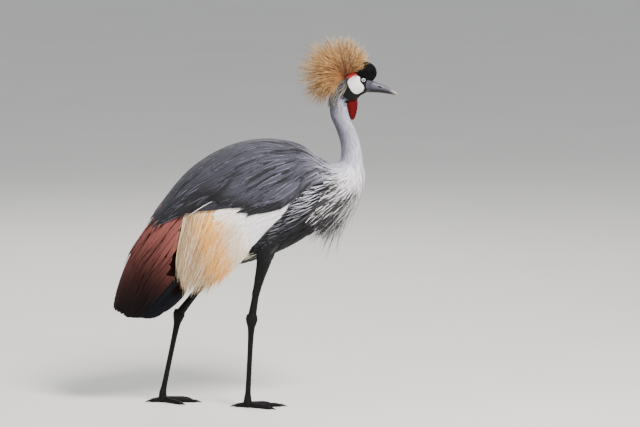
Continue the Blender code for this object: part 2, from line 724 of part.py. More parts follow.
# Coverts: the slab they grow from, and the root station and turns of each tier.
COVERT_SPAN, COVERT_TURNS, COVERT_UNDER = (1.3, 3.70), (0.66, 0.96), 0.026
COVERT_TIERS = [(1.8, (0.91, 0.99)), (2.25, (0.87, 0.95)), (2.7, (0.80, 0.89, 0.98))]
COVERT_REACH, COVERT_DRIFT, COVERT_HALF_WIDTH, COVERT_ROOT = 1.35, -0.05, 0.0110, 0.0060

# Golden plumes: the slab, and rows of root station, reach, first and last turn, how many.
PLUME_SPAN, PLUME_TURNS = (3.75, 5.9), (0.40, 0.97)
PLUME_ROWS = [(3.80, 2.3, 0.72, 0.97, 4), (4.55, 2.5, 0.62, 0.94, 4), (5.35, 2.1, 0.54, 0.88, 5)]
PLUME_HALF_WIDTH, PLUME_ROOT, PLUME_RISE, PLUME_STEP = 0.0090, 0.0064, 0.0080, 0.0012
PLUME_SHARES = (0.0, 0.45, 0.82, 1.0)
PLUME_THICKNESS = (0.0028, 0.0022, 0.0017, 0.0010)

# Secondaries: tiers of root station, reach, how many, turns of first and last, half width, root depth.
SECONDARY_SPAN = (5.6, 8.8)
SECONDARY_TIERS = [(6.1, 3.9, 4, 0.16, 0.90, 0.0180, 0.0112), (7.8, 5.0, 6, 0.05, 0.97, 0.0160, 0.0108)]
SECONDARY_DRIFT, SECONDARY_THICKNESS, SECONDARY_BLUNT = 0.02, 0.0013, 0.92
RIDGE_TURN = 0.004

PRIMARY_SPAN, PRIMARY_TURNS, PRIMARY_DEPTHS = (6.8, 8.8), (0.55, 0.98), (0.0148, 0.0185)
PRIMARY_COUNT, PRIMARY_FAN, PRIMARY_START, PRIMARY_REACH = 4, (0.50, 1.06), 7.2, 5.2
PRIMARY_DRIFT, PRIMARY_DEPTH, PRIMARY_STEP = 0.03, 0.0155, 0.0014
PRIMARY_HALF_WIDTHS = (0.0070, 0.0110, 0.0080)
PRIMARY_THICKNESS = (0.0018, 0.0013, 0.0012, 0.0010)


def mantle_edge(at):
    places, turns = zip(*MANTLE_LOW)
    return float(np.interp(at, places, turns))


def mantle_turns(at):
    reach = mantle_edge(at) - MANTLE_INSET
    return -reach, reach


def mantle_depths(at, turn):
    """Outer and inner depth of the mantle's slab, whose front reaches down to the shoulders."""
    top = float(np.interp(at, (-0.5, 0.5), (0.0120, 0.0036)))
    return top, float(np.interp(at, (0.9, 1.6, 5.5, 7), (0.0220, 0.0074, 0.0074, 0.0066)))


def top_depth(at, turn):
    return UNDER_MANTLE if turn < mantle_edge(at) + 0.02 else OPEN_DEPTH


def covert_depths(at, turn):
    return top_depth(at, turn), COVERT_UNDER


def plume_depths(at, turn):
    return top_depth(at, turn), float(np.interp(at, (3.5, 4.6, 5.9), (0.026, 0.016, 0.0130)))


def secondary_turns(at):
    return RIDGE_TURN, float(np.interp(at, (5.6, 5.95, 6.1), (0.40, 0.40, 0.88)))


def secondary_depths(at, turn):
    top = float(np.interp(at, (6.9, 7.4, 8.8), (UNDER_MANTLE, 0.0082, 0.0078)))
    return top, float(np.interp(at, (5.2, 8.8), (0.0160, 0.0140)))


def make_mantle(covered):
    pieces = [shell(*MANTLE_SPAN, mantle_turns, mantle_depths, 1, 7, 13)]
    for row, (at, reach, count, half_width, sunk) in enumerate(MANTLE_TIERS):
        edge = min(mantle_edge(at + reach * 0.45), mantle_edge(at)) - 0.02
        turns = spread(-edge, edge, 2 * count + row % 2)
        pieces += tier(at, turns, reach, MANTLE_DRIFT, half_width, sunk + TIP_HEIGHT, sunk=sunk)
    return build("mantle", pieces, SLATE, clear_of=covered)


def plume_locks(side):
    """Narrow drooping plumes over the hind half of the wing."""
    locks = []
    for at, reach, low, high, count in PLUME_ROWS:
        for i, turn in enumerate(spread(low, high, count)):
            start, length = at + RNG.uniform(-0.12, 0.12), varied(reach, 0.12)
            sweep = 0.16 * (turn - 0.85) + RNG.uniform(-TURN_SCATTER, TURN_SCATTER)
            lift = PLUME_STEP * (i % 2)
            path = [(start + length * f, turn + sweep * f) for f in PLUME_SHARES]
            wide = varied(PLUME_HALF_WIDTH, 0.10)
            widths = [wide * ROOT_WIDTH, wide, wide * 0.6]
            heights = [PLUME_RISE * f**0.7 - PLUME_ROOT + lift * min(1, 3 * f) for f in PLUME_SHARES]
            locks.append(feather(cloak_surface, path, widths, heights, PLUME_THICKNESS, 0, side))
    return locks


def covert_vanes(side):
    vanes = []
    for at, turns in COVERT_TIERS:
        vanes += tier(
            at, turns, COVERT_REACH, COVERT_DRIFT, COVERT_HALF_WIDTH, COVERT_ROOT, side, sunk=COVERT_ROOT,
        )
    return vanes


def secondary_vanes(side):
    vanes = []
    for at, reach, count, high, low, half_width, sunk in SECONDARY_TIERS:
        vanes += tier(
            at, spread(high, low, count), reach, SECONDARY_DRIFT, half_width, sunk, side,
            SECONDARY_THICKNESS, sunk, SECONDARY_BLUNT,
        )
    return vanes


def primary_vanes(side):
    vanes = []
    for i, turn in enumerate(spread(*PRIMARY_FAN, PRIMARY_COUNT)):
        path = [(PRIMARY_START + PRIMARY_REACH * f, turn + PRIMARY_DRIFT * f) for f in FLANK_SHARES]
        heights = [-PRIMARY_DEPTH - PRIMARY_STEP * (i % 2)] * len(path)
        vanes.append(feather(
            cloak_surface, path, PRIMARY_HALF_WIDTHS, heights, PRIMARY_THICKNESS, CAMBER, side,
        ))
    return vanes


def make_wing(side, torso, mantle, neck):
    name = f"wing_{SIDE_NAMES[side]}"
    slab = shell(*PLUME_SPAN, lambda at: PLUME_TURNS, plume_depths, side, 4, 7)
    plumes = build(f"{name}_plumes", [slab, *plume_locks(side)], PLUME_GOLD, [torso, mantle])
    slab = shell(*COVERT_SPAN, lambda at: COVERT_TURNS, covert_depths, side, 4, 4)
    coverts = [slab, *covert_vanes(side)]
    build(f"{name}_coverts", coverts, COVERT_WHITE, [torso, mantle, plumes, neck])
    slab = shell(*SECONDARY_SPAN, secondary_turns, secondary_depths, side, 6, 6)
    secondaries = [slab, *secondary_vanes(side)]
    build(f"{name}_secondaries", secondaries, CHESTNUT, [torso, mantle, plumes])
    slab = shell(*PRIMARY_SPAN, lambda at: PRIMARY_TURNS, lambda at, turn: PRIMARY_DEPTHS, side, 3, 4)
    primaries = build(f"{name}_primaries", [slab, *primary_vanes(side)], BLACK, [torso, secondaries])
    return coverts, plumes, secondaries, primaries


TAIL_VANES = 5
TAIL_FROM, TAIL_TO = np.array([-0.198, 0, 0.428]), np.array([-0.322, 0, 0.232])
TAIL_CORE_RADII, TAIL_CORE_SHIFT = (0.034, 0.019, 0.010), 0.018
# Half width of the fan at root and tip, how far its sides fall, and how high its middle vane lies.
TAIL_FAN, TAIL_FALL, TAIL_CROWN = (0.012, 0.034), 0.006, 0.0022
TAIL_HALF_WIDTHS = (0.0060, 0.0095, 0.0075)
TAIL_THICKNESS = (0.0018, 0.0014, 0.0012, 0.0010)


def make_tail(torso, wings):
    """Short fan of stiff vanes under the folded wings."""
    ahead = (TAIL_TO - TAIL_FROM) / np.linalg.norm(TAIL_TO - TAIL_FROM)
    up = np.cross(np.array([0, -1.0, 0]), ahead)
    length = np.linalg.norm(TAIL_TO - TAIL_FROM)

    def fan(at, turn):
        sideways = (TAIL_FAN[0] + (TAIL_FAN[1] - TAIL_FAN[0]) * at) * turn
        return TAIL_FROM + ahead * at * length + np.array([0, sideways, 0]) - up * TAIL_FALL * turn**2 * at

    core = TAIL_FROM + ahead * TAIL_CORE_SHIFT
    pieces = [ellipsoid(core, TAIL_CORE_RADII, math.atan2(ahead[2], ahead[0]), 5, 8)]
    for i, turn in enumerate(spread(-1, 1, TAIL_VANES)):
        height = TAIL_CROWN * (1 - abs(turn)) + CAMBER * (i % 2)
        path = [(0.02 + (0.98 - 0.10 * abs(turn)) * f, turn) for f in (0.0, 0.45, 0.85, 1.0)]
        pieces.append(feather(fan, path, TAIL_HALF_WIDTHS, [height] * 4, TAIL_THICKNESS, 0.0007))
    build("tail", pieces, BLACK, clear_of=[torso, *wings])


# Legs. Each path runs down: (x, sideways, z). The right foot is ahead of the left.

THIGH_RADII = [(0.040, 0.032), (0.024, 0.020), (0.0130, 0.0120), (0.0100, 0.0095)]
SHANK_RADII = [(0.0098, 0.0090), (0.0088, 0.0082), (0.0105, 0.0090)]
TARSUS_RADII = [
    (0.0118, 0.0095), (0.0142, 0.0108), (0.0118, 0.0096), (0.0080, 0.0075),
    (0.0064, 0.0058), (0.0062, 0.0056), (0.0068, 0.0062), (0.0088, 0.0086),
]
LEG_PATHS = {
    RIGHT: {
        "thigh": [(0.040, 0.036, 0.430), (0.022, 0.046, 0.350), (0.010, 0.049, 0.305), (0.004, 0.050, 0.282)],
        "ankle": (-0.0068, 0.0500, 0.2180),
        "foot": (-0.0170, 0.0330, 0.0230),
    },
    LEFT: {
        "thigh": [
            (-0.030, 0.032, 0.430), (-0.075, 0.038, 0.350), (-0.112, 0.042, 0.305), (-0.136, 0.044, 0.277),
        ],
        "ankle": (-0.1840, 0.0480, 0.2150),
        "foot": (-0.2240, 0.0420, 0.0230),
    },
}
TARSUS_SHARES = (-0.055, 0.0, 0.06, 0.14, 0.35, 0.70, 0.92, 1.0)
TOES = [("inner", 42, 0.062), ("middle", 6, 0.082), ("outer", -30, 0.066), ("hind", 172, 0.030)]
TOE_RADIUS, TOE_HEIGHT = 0.0056, 0.0135
CLAW_LENGTH, CLAW_HALF_WIDTH, CLAW_HEIGHT = 0.014, 0.0030, 0.0066
FOOT_RADII = [(0.0088, 0.0086), (0.0100, 0.0098), (0.0105, 0.0100)]
# How far short of the ankle's middle the shank stops.
SHANK_SHORTFALL = 0.006


def mirrored(point, side):
    return np.array([point[0], side * point[1], point[2]])


def toe_ring(centre, heading, width, height):
    """A section of a toe: round above, flat on the floor."""
    across = np.array([-math.sin(heading), math.cos(heading), 0])
    shape = [(-0.6, 0), (0.6, 0), (1, 0.4), (0.5, 1), (-0.5, 1), (-1, 0.4)]
    return [centre + across * width * s + np.array([0, 0, height * h]) for s, h in shape]


def toe_shape(base, heading, length):
    """A toe with knuckle pads, from the foot's middle out to its claw."""
    rings = []
    ahead = np.array([math.cos(heading), math.sin(heading), 0])
    for share in np.linspace(0, 1, 5):
        pad = 1 + 0.10 * math.cos(share * 3 * 2 * math.pi)
        width = TOE_RADIUS * (1.15 - 0.45 * share) * pad
        height = TOE_HEIGHT * (1 - 0.42 * share) * (0.96 + 0.04 * pad)
        rings.append(toe_ring(base + ahead * length * share, heading, width, height))
    return closed_loft(rings)


def claw_shape(base, heading, start):
    ahead = np.array([math.cos(heading), math.sin(heading), 0])
    rings = []
    for share in np.linspace(0, 1, 3):
        width = CLAW_HALF_WIDTH * (1 - 0.85 * share)
        height = CLAW_HEIGHT * (1 - 0.86 * share**1.5)
        rings.append(toe_ring(base + ahead * (start + CLAW_LENGTH * share), heading, width, height))
    return closed_loft(rings)


def make_leg(side, torso, wing):
    name, paths = SIDE_NAMES[side], LEG_PATHS[side]
    thigh_path = [mirrored(p, side) for p in paths["thigh"]]
    thigh = build(f"thigh_{name}", [limb(thigh_path, THIGH_RADII, 12)], BODY_GREY, clear_of=[torso, *wing])
    ankle, foot = mirrored(paths["ankle"], side), mirrored(paths["foot"], side)
    knee_end = thigh_path[-1]
    down = (ankle - knee_end) / np.linalg.norm(ankle - knee_end)
    fall = (foot - ankle) / np.linalg.norm(foot - ankle)
    tarsus_path = [ankle + (foot - ankle) * share for share in TARSUS_SHARES]
    tarsus = build(f"tarsus_{name}", [limb(tarsus_path, TARSUS_RADII, 10)], LEG_BLACK)
    shank_path = [knee_end + down * GAP * 2, (knee_end + ankle) / 2, ankle - down * SHANK_SHORTFALL]
    build(f"shank_{name}", [limb(shank_path, SHANK_RADII, 10)], LEG_BLACK, clear_of=[tarsus, thigh])
    make_foot(side, foot + fall * GAP, tarsus)


def make_foot(side, top, tarsus):
    name = SIDE_NAMES[side]
    base = np.array([top[0], top[1], 0.0])
    pieces = [limb([top, top * 0.6 + base * 0.4, base], FOOT_RADII, 12)]
    for _, angle, length in TOES:
        pieces.append(toe_shape(base, side * -math.radians(angle), length))
    build(f"foot_{name}", pieces, LEG_BLACK, clear_of=[tarsus])
    for toe, angle, length in TOES:
        heading = side * -math.radians(angle)
        build(f"claw_{name}_{toe}", [claw_shape(base, heading, length + GAP)], CLAW_BLACK)


def main():
    clear_scene()
    head = make_head()
    make_bill(head)
    cap = make_face(head)
    torso = make_torso()
    neck_upper, neck_lower = make_neck(torso)
    make_wattle(head, neck_upper)
    make_crest(head, cap)
    mantle = make_mantle([torso, neck_lower])
    wings = {side: make_wing(side, torso, mantle, neck_lower) for side in (RIGHT, LEFT)}
    for side in (RIGHT, LEFT):
        make_leg(side, torso, wings[side])
    make_tail(torso, wings[RIGHT] + wings[LEFT])


main()
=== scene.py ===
"""Grey crowned crane in mid-stride: feather coat, bare skin, horn and looks over the frame."""

import math

import bpy
import numpy as np
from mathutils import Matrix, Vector
from mathutils.bvhtree import BVHTree


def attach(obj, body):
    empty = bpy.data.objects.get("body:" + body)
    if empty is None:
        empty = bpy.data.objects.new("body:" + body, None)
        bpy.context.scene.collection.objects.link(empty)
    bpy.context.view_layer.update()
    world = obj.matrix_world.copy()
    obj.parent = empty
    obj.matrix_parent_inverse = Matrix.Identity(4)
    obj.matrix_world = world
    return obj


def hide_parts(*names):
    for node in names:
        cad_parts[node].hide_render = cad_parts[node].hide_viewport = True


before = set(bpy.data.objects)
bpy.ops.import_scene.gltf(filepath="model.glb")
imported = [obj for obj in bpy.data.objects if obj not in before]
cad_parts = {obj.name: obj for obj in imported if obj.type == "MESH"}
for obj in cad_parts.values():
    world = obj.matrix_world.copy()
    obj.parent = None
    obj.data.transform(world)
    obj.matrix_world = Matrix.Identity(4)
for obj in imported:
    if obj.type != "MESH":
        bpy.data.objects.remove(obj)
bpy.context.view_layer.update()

RNG = np.random.default_rng(11)
RIGHT, LEFT = -1, 1
SIDE_NAMES = {RIGHT: "right", LEFT: "left"}

# Flesh: dorsal point (x, z), ventral point (x, z), half width, height of the widest level.
FLESH = [
    (0.2855, 0.7855, 0.2680, 0.7585, 0.0100, 0.00),
    (0.2770, 0.7970, 0.2660, 0.7575, 0.0155, 0.00),
    (0.2620, 0.8060, 0.2620, 0.7555, 0.0205, 0.00),
    (0.2410, 0.8110, 0.2560, 0.7520, 0.0230, 0.00),
    (0.2180, 0.8030, 0.2500, 0.7470, 0.0230, 0.00),
    (0.1990, 0.7820, 0.2430, 0.7395, 0.0220, 0.00),
    (0.1860, 0.7570, 0.2320, 0.7390, 0.0210, 0.00),
    (0.1810, 0.7310, 0.2215, 0.7340, 0.0200, 0.00),
    (0.1825, 0.7020, 0.2280, 0.6970, 0.0205, 0.00),
    (0.1970, 0.6670, 0.2435, 0.6640, 0.0215, 0.00),
    (0.2070, 0.6330, 0.2540, 0.6280, 0.0230, 0.00),
    (0.2075, 0.6030, 0.2600, 0.5920, 0.0270, 0.00),
    (0.2030, 0.5900, 0.2620, 0.5600, 0.0340, 0.00),
    (0.1885, 0.5855, 0.2570, 0.5300, 0.0430, 0.00),
    (0.1700, 0.5900, 0.2460, 0.5030, 0.0540, 0.00),
    (0.1430, 0.6060, 0.2240, 0.4720, 0.0650, 0.02),
    (0.1090, 0.6210, 0.1810, 0.4430, 0.0740, 0.04),
    (0.0710, 0.6300, 0.1330, 0.4160, 0.0810, 0.05),
    (0.0280, 0.6320, 0.0800, 0.3860, 0.0850, 0.06),
    (-0.0230, 0.6250, 0.0250, 0.3620, 0.0860, 0.06),
    (-0.0780, 0.6030, -0.0300, 0.3460, 0.0820, 0.06),
    (-0.1310, 0.5680, -0.0840, 0.3360, 0.0740, 0.05),
    (-0.1720, 0.5280, -0.1300, 0.3340, 0.0620, 0.04),
    (-0.2000, 0.4900, -0.1630, 0.3400, 0.0480, 0.02),
    (-0.2220, 0.4500, -0.1880, 0.3500, 0.0340, 0.00),
]
# Cloak of mantle and folded wings: dorsal ridge (x, z), lower free edge (x, z), half width.
EDGE_ANGLE = math.radians(130)
CLOAK = [
    (0.109, 0.635, 0.156, 0.543, 0.084),
    (0.071, 0.641, 0.109, 0.500, 0.094),
    (0.028, 0.645, 0.068, 0.465, 0.105),
    (-0.023, 0.639, 0.018, 0.419, 0.109),
    (-0.078, 0.620, -0.032, 0.361, 0.107),
    (-0.131, 0.589, -0.078, 0.329, 0.100),
    (-0.174, 0.5525, -0.116, 0.306, 0.091),
    (-0.208, 0.511, -0.155, 0.286, 0.081),
    (-0.239, 0.4695, -0.169, 0.265, 0.071),
    (-0.272, 0.422, -0.184, 0.247, 0.062),
    (-0.304, 0.369, -0.203, 0.229, 0.054),
    (-0.328, 0.306, -0.227, 0.213, 0.047),
    (-0.3415, 0.247, -0.260, 0.212, 0.041),
    (-0.337, 0.225, -0.299, 0.216, 0.037),
]
# Lower edge of the mantle, as (row, turn) of the cloak: the front lobe ends and the rear one starts at 4.7.
MANTLE_LOW = [
    (-3.0, 0.30), (-2.0, 0.46), (-1.0, 0.62), (-0.5, 0.74), (0.0, 0.86), (0.5, 0.91), (1.8, 0.92), (2.2, 0.83),
    (2.7, 0.80), (3.2, 0.735), (3.7, 0.66), (4.2, 0.59), (4.7, 0.49), (5.2, 0.455), (6.0, 0.445), (6.6, 0.41),
    (7.3, 0.36), (8.0, 0.27),
]


def paint(red, green, blue):
    """Linear colour of display values from 0 to 255."""
    value = np.array([red, green, blue]) / 255
    return np.where(value <= 0.04045, value / 12.92, ((value + 0.055) / 1.055) ** 2.4)


def ramp(value, low, high):
    share = np.clip((np.asarray(value, float) - low) / (high - low), 0, 1)
    return share * share * (3 - 2 * share)


def blend(first, second, share):
    share = np.asarray(share, float)[..., None]
    return first * (1 - share) + second * share


def spline(rows, at):
    """Catmull-Rom rows at row numbers that need not be whole, carried on straight past the ends."""
    table, at = np.asarray(rows, float), np.asarray(at, float)
    last = len(table) - 1
    i = np.clip(np.floor(at), 0, last - 1).astype(int)
    f = np.clip(at - i, 0, 1)[..., None]
    before, here, after = table[np.maximum(i - 1, 0)], table[i], table[i + 1]
    beyond = table[np.minimum(i + 2, last)]
    bend = 2 * before - 5 * here + 4 * after - beyond
    twist = 3 * here - before - 3 * after + beyond
    value = 0.5 * (2 * here + (after - before) * f + bend * f**2 + twist * f**3)
    value = value + np.minimum(at, 0)[..., None] * (table[1] - table[0])
    return value + np.maximum(at - last, 0)[..., None] * (table[last] - table[last - 1])


def flesh(at, turn):
    """Skin of head, neck and trunk: turn is 0 on the back, 1 on the belly, negative on the right."""
    row = spline(FLESH, at)
    up, out = np.cos(np.pi * turn), np.sin(np.pi * turn)
    x = (row[..., 0] + row[..., 2]) / 2 + (row[..., 0] - row[..., 2]) / 2 * up
    z = (row[..., 1] + row[..., 3]) / 2 + (row[..., 1] - row[..., 3]) / 2 * up
    return np.stack([x, row[..., 4] * out * (1 + row[..., 5] * up), z], -1)


def cloak(at, turn):
    """Cloak of the wings: turn is 0 on the ridge, 1 at the left free edge, -1 at the right one."""
    row = spline(CLOAK, at)
    angle = EDGE_ANGLE * turn
    share = (1 - np.cos(angle)) / (1 - math.cos(EDGE_ANGLE))
    x = row[..., 0] + (row[..., 2] - row[..., 0]) * share
    z = row[..., 1] + (row[..., 3] - row[..., 1]) * share
    return np.stack([x, row[..., 4] * np.sin(angle), z], -1)


def drape(at, turn):
    """Cloak whose front sinks into the flesh of the shoulders and neck base."""
    share = ramp(at, -1.5, 0.9)[..., None]
    return flesh(at + 16, turn * EDGE_ANGLE / math.pi) * (1 - share) + cloak(at, turn) * share


def limb_surface(path, radii):
    """Surface of a tube: at is the row of its path, turn 0 faces forward, 0.5 to the right."""
    path, radii = np.asarray(path, float), np.asarray(radii, float)
    lead = np.gradient(path, axis=0)
    lead /= np.linalg.norm(lead, axis=1, keepdims=True)
    ahead = np.cross(np.array([0.0, 1.0, 0.0]), lead)
    ahead *= np.where(ahead[:, :1] < 0, -1, 1)
    ahead /= np.linalg.norm(ahead, axis=1, keepdims=True)
    across = np.cross(lead, ahead)
    across *= np.where(across[:, 1:2] < 0, -1, 1)
    rows = np.concatenate([path, ahead, across, radii], 1)

    def surface(at, turn):
        row = spline(rows, at)
        front = row[..., 3:6] * (row[..., 9] * np.cos(np.pi * turn))[..., None]
        side = row[..., 6:9] * (row[..., 10] * np.sin(np.pi * turn))[..., None]
        return row[..., 0:3] + front - side

    return surface


def frame_of(surface, at, turn):
    """Place, the two rates of change and outward normal."""
    step = 0.02
    place = surface(at, turn)
    along = (surface(at + step, turn) - surface(at - step, turn)) / (2 * step)
    around = (surface(at, turn + step) - surface(at, turn - step)) / (2 * step)
    normal = np.cross(around, along)
    normal /= np.linalg.norm(normal, axis=-1, keepdims=True) + 1e-12
    return place, along, around, normal


def unit(vectors):
    return vectors / (np.linalg.norm(vectors, axis=-1, keepdims=True) + 1e-12)


def dot(first, second):
    return np.sum(first * second, axis=-1)


def shift_on(along, around, move):
    """The changes of at and turn that carry a point by move."""
    a, b, c = dot(along, along), dot(along, around), dot(around, around)
    p, q = dot(along, move), dot(around, move)
    spread = a * c - b * b + 1e-15
    return (c * p - b * q) / spread, (a * q - b * p) / spread


# Meshes


def mesh_of(name, points, faces, tint=None, bake=None, vane=None, look=None, crease=None):
    """A mesh object from arrays. faces is a list of index arrays with 3 or 4 columns."""
    mesh = bpy.data.meshes.new(name)
    points = np.ascontiguousarray(points.reshape(-1, 3), np.float32)
    loops = np.concatenate([group.ravel() for group in faces]).astype(np.int32)
    sizes = np.concatenate([np.full(len(group), group.shape[1]) for group in faces])
    starts = np.concatenate([[0], np.cumsum(sizes)[:-1]]).astype(np.int32)
    mesh.vertices.add(len(points))
    mesh.vertices.foreach_set("co", points.ravel())
    mesh.loops.add(len(loops))
    mesh.loops.foreach_set("vertex_index", loops)
    mesh.polygons.add(len(starts))
    mesh.polygons.foreach_set("loop_start", starts)
    mesh.update(calc_edges=True)
    if tint is not None:
        colour = np.ones((len(points), 4), np.float32)
        colour[:, :3] = np.clip(tint.reshape(-1, 3), 0, 1)
        layer = mesh.color_attributes.new("tint", "FLOAT_COLOR", "POINT")
        layer.data.foreach_set("color", colour.ravel())
    for layer_name, values in (("OFBake", bake), ("vane", vane)):
        if values is not None:
            layer = mesh.uv_layers.new(name=layer_name)
            layer.data.foreach_set("uv", values.reshape(-1, 2)[loops].astype(np.float32).ravel())
    mesh.shade_smooth()
    if crease:
        mesh.set_sharp_from_angle(angle=math.radians(crease))
    if look:
        mesh.materials.append(look)
    made = bpy.data.objects.new(name, mesh)
    bpy.context.scene.collection.objects.link(made)
    return made


def tuft_faces(count, rings, around):
    """Faces of count blades, each of rings of around points, a root cap and a tip."""
    size = rings * around + 1
    start = (np.arange(count) * size)[:, None, None]
    i, j = np.meshgrid(np.arange(rings - 1), np.arange(around), indexing="ij")
    a, b = (i * around + j).ravel(), (i * around + (j + 1) % around).ravel()
    quads = (np.stack([a, a + around, b + around, b], -1)[None] + start).reshape(-1, 4)
    j = np.arange(around)
    last = (rings - 1) * around
    tips = np.stack([last + j, np.full(around, rings * around), last + (j + 1) % around], -1)
    j = np.arange(1, around - 1)
    roots = np.stack([np.zeros_like(j), j, j + 1], -1)
    tris = (np.concatenate([tips, roots])[None] + start).reshape(-1, 3)
    return [quads, tris]


def unwrapped(surface, at, turn):
    """Place of a surface point on the unwrap of that surface."""
    first, last = {flesh: (-0.5, 25.0), cloak: (-3.5, 14.0), drape: (-3.5, 14.0)}.get(surface, (-0.3, 8.0))
    return np.stack([0.01 + 0.98 * (at - first) / (last - first), 0.5 + 0.45 * turn], -1)


def cells(count):
    """Corner and size of an atlas cell for each of count large vanes."""
    side = math.ceil(math.sqrt(count))
    i = np.arange(count)
    return np.stack([i % side, i // side], -1) / side, 0.94 / side


PATCH = 0.003


def blades(
    name, surface, at, turn, lean, length, width, heights, look, tint, shares, shape, thick=0.0003,
    columns=3, camber=0.12, curl=0.0, hang=None, atlas=False, crease=60, stray=None,
):
    """Many vanes that lie on a surface.

    lean turns each one from the surface's own run towards the belly. heights, shape and thick are given at
    the shares of the length, the last being the tip. tint(at, turn, share, column, seed) is their colour,
    with at and turn those of the spot that is coloured.
    """
    at, turn = np.asarray(at, float), np.asarray(turn, float)
    count, rings = len(at), len(shares) - 1
    lean = np.broadcast_to(lean, at.shape)
    length, width = np.broadcast_to(length, at.shape), np.broadcast_to(width, at.shape)
    seed = RNG.random(count)
    ats, turns = [at], [turn]
    for k in range(len(shares) - 1):
        _, along, around, normal = frame_of(surface, ats[-1], turns[-1])
        ahead = unit(along)
        down = around - dot(around, ahead)[:, None] * ahead
        down = unit(down) * np.where(turn < 0, -1, 1)[:, None]
        angle = lean + curl * shares[k]
        heading = ahead * np.cos(angle)[:, None] + down * np.sin(angle)[:, None]
        move = heading * (length * (shares[k + 1] - shares[k]))[:, None]
        step_at, step_turn = shift_on(along, around, move)
        ats.append(ats[-1] + step_at)
        turns.append(turns[-1] + step_turn)
    ats, turns = np.stack(ats, 1), np.stack(turns, 1)
    place, along, around, normal = frame_of(surface, ats, turns)
    heading = unit(np.gradient(place, axis=1))
    across = unit(np.cross(normal, heading))
    heights = np.broadcast_to(heights, ats.shape)
    column = np.linspace(-1, 1, columns)
    wide = (width[:, None] * np.asarray(shape)[None, :])[:, :rings, None] * column
    move = across[:, :rings, None] * wide[..., None]
    step_at, step_turn = shift_on(along[:, :rings, None], around[:, :rings, None], move)
    spot_at, spot_turn = ats[:, :rings, None] + step_at, turns[:, :rings, None] + step_turn
    spot, _, _, up = frame_of(surface, spot_at, spot_turn)
    level = heights[:, :rings, None] - camber * width[:, None, None] * column**2
    top = spot + up * level[..., None]
    thickness = np.broadcast_to(thick, (rings + 1,))[:rings]
    under = top[:, :, 1:-1] - up[:, :, 1:-1] * thickness[None, :, None, None]
    ring = np.concatenate([top, under[:, :, ::-1]], 2)
    tip = place[:, -1] + normal[:, -1] * (heights[:, -1] - thickness[-1] / 2)[:, None]
    if hang is not None:
        ring, tip = ring + hang[:, :rings, None], tip + hang[:, -1]
    if stray is not None:
        bend = across * stray(seed, shares)[..., None]
        ring, tip = ring + bend[:, :rings, None], tip + bend[:, -1]
    ring_column = np.concatenate([column, column[1:-1][::-1]])
    around_count = len(ring_column)
    share = np.asarray(shares)
    grid_share = np.broadcast_to(share[None, :rings, None], ring.shape[:3])
    grid_column = np.broadcast_to(ring_column[None, None], ring.shape[:3])
    grid_seed = np.broadcast_to(seed[:, None, None], ring.shape[:3])
    spots = [np.concatenate([v, v[:, :, 1:-1][:, :, ::-1]], 2) for v in (spot_at, spot_turn)]
    colour = tint(*spots, grid_share, grid_column, grid_seed)
    tip_colour = tint(ats[:, -1], turns[:, -1], np.ones(count), np.zeros(count), seed)
    points = np.concatenate([ring.reshape(count, -1, 3), tip[:, None]], 1)
    tints = np.concatenate([colour.reshape(count, -1, 3), tip_colour[:, None]], 1)
    local = np.stack([grid_column * 0.5 + 0.5, grid_share], -1).reshape(count, -1, 2)
    local = np.concatenate([local, np.broadcast_to([0.5, 1.0], (count, 1, 2))], 1)
    if atlas:
        corner, size = cells(count)
        bake = corner[:, None] + 0.02 * size + local * size
    else:
        bake = unwrapped(surface, at, turn)[:, None] + (local - 0.5) * PATCH
    vane = local + np.stack([2.0 * (np.arange(count) % 64), np.zeros(count)], -1)[:, None]
    faces = tuft_faces(count, rings, around_count)
    return mesh_of(name, points, faces, tints, bake, vane, look, crease)


def strands(name, path, radii, look, tint, bake_at, around=3, flat=1.0):
    """Free bristles along path (count, stations, 3). Radii are per station, the last one being the tip."""
    count, stations, _ = path.shape
    rings = stations - 1
    heading = unit(np.gradient(path, axis=1))[:, :rings]
    first = unit(np.cross(heading, np.array([0.31, 0.84, 0.44])))
    second = np.cross(heading, first)
    angle = 2 * np.pi * np.arange(around) / around
    radii = np.broadcast_to(radii, (count, stations))[:, :rings, None, None]
    circle = first[:, :, None] * np.cos(angle)[:, None] + second[:, :, None] * np.sin(angle)[:, None] * flat
    ring = path[:, :rings, None] + circle * radii
    seed = RNG.random(count)
    share = np.linspace(0, 1, stations)
    grid = (count, rings, around)
    colour = tint(np.broadcast_to(share[None, :rings, None], grid), np.broadcast_to(seed[:, None, None], grid))
    points = np.concatenate([ring.reshape(count, -1, 3), path[:, -1:]], 1)
    tints = np.concatenate([colour.reshape(count, -1, 3), tint(np.ones(count), seed)[:, None]], 1)
    local = np.stack([np.broadcast_to(angle / 7, grid), np.broadcast_to(share[None, :rings, None], grid)], -1)
    local = np.concatenate([local.reshape(count, -1, 2), np.broadcast_to([0.5, 1.0], (count, 1, 2))], 1)
    bake = bake_at[:, None] + (local - 0.5) * PATCH
    vane = local + np.stack([2.0 * (np.arange(count) % 64), np.zeros(count)], -1)[:, None]
    return mesh_of(name, points, tuft_faces(count, rings, around), tints, bake, vane, look)


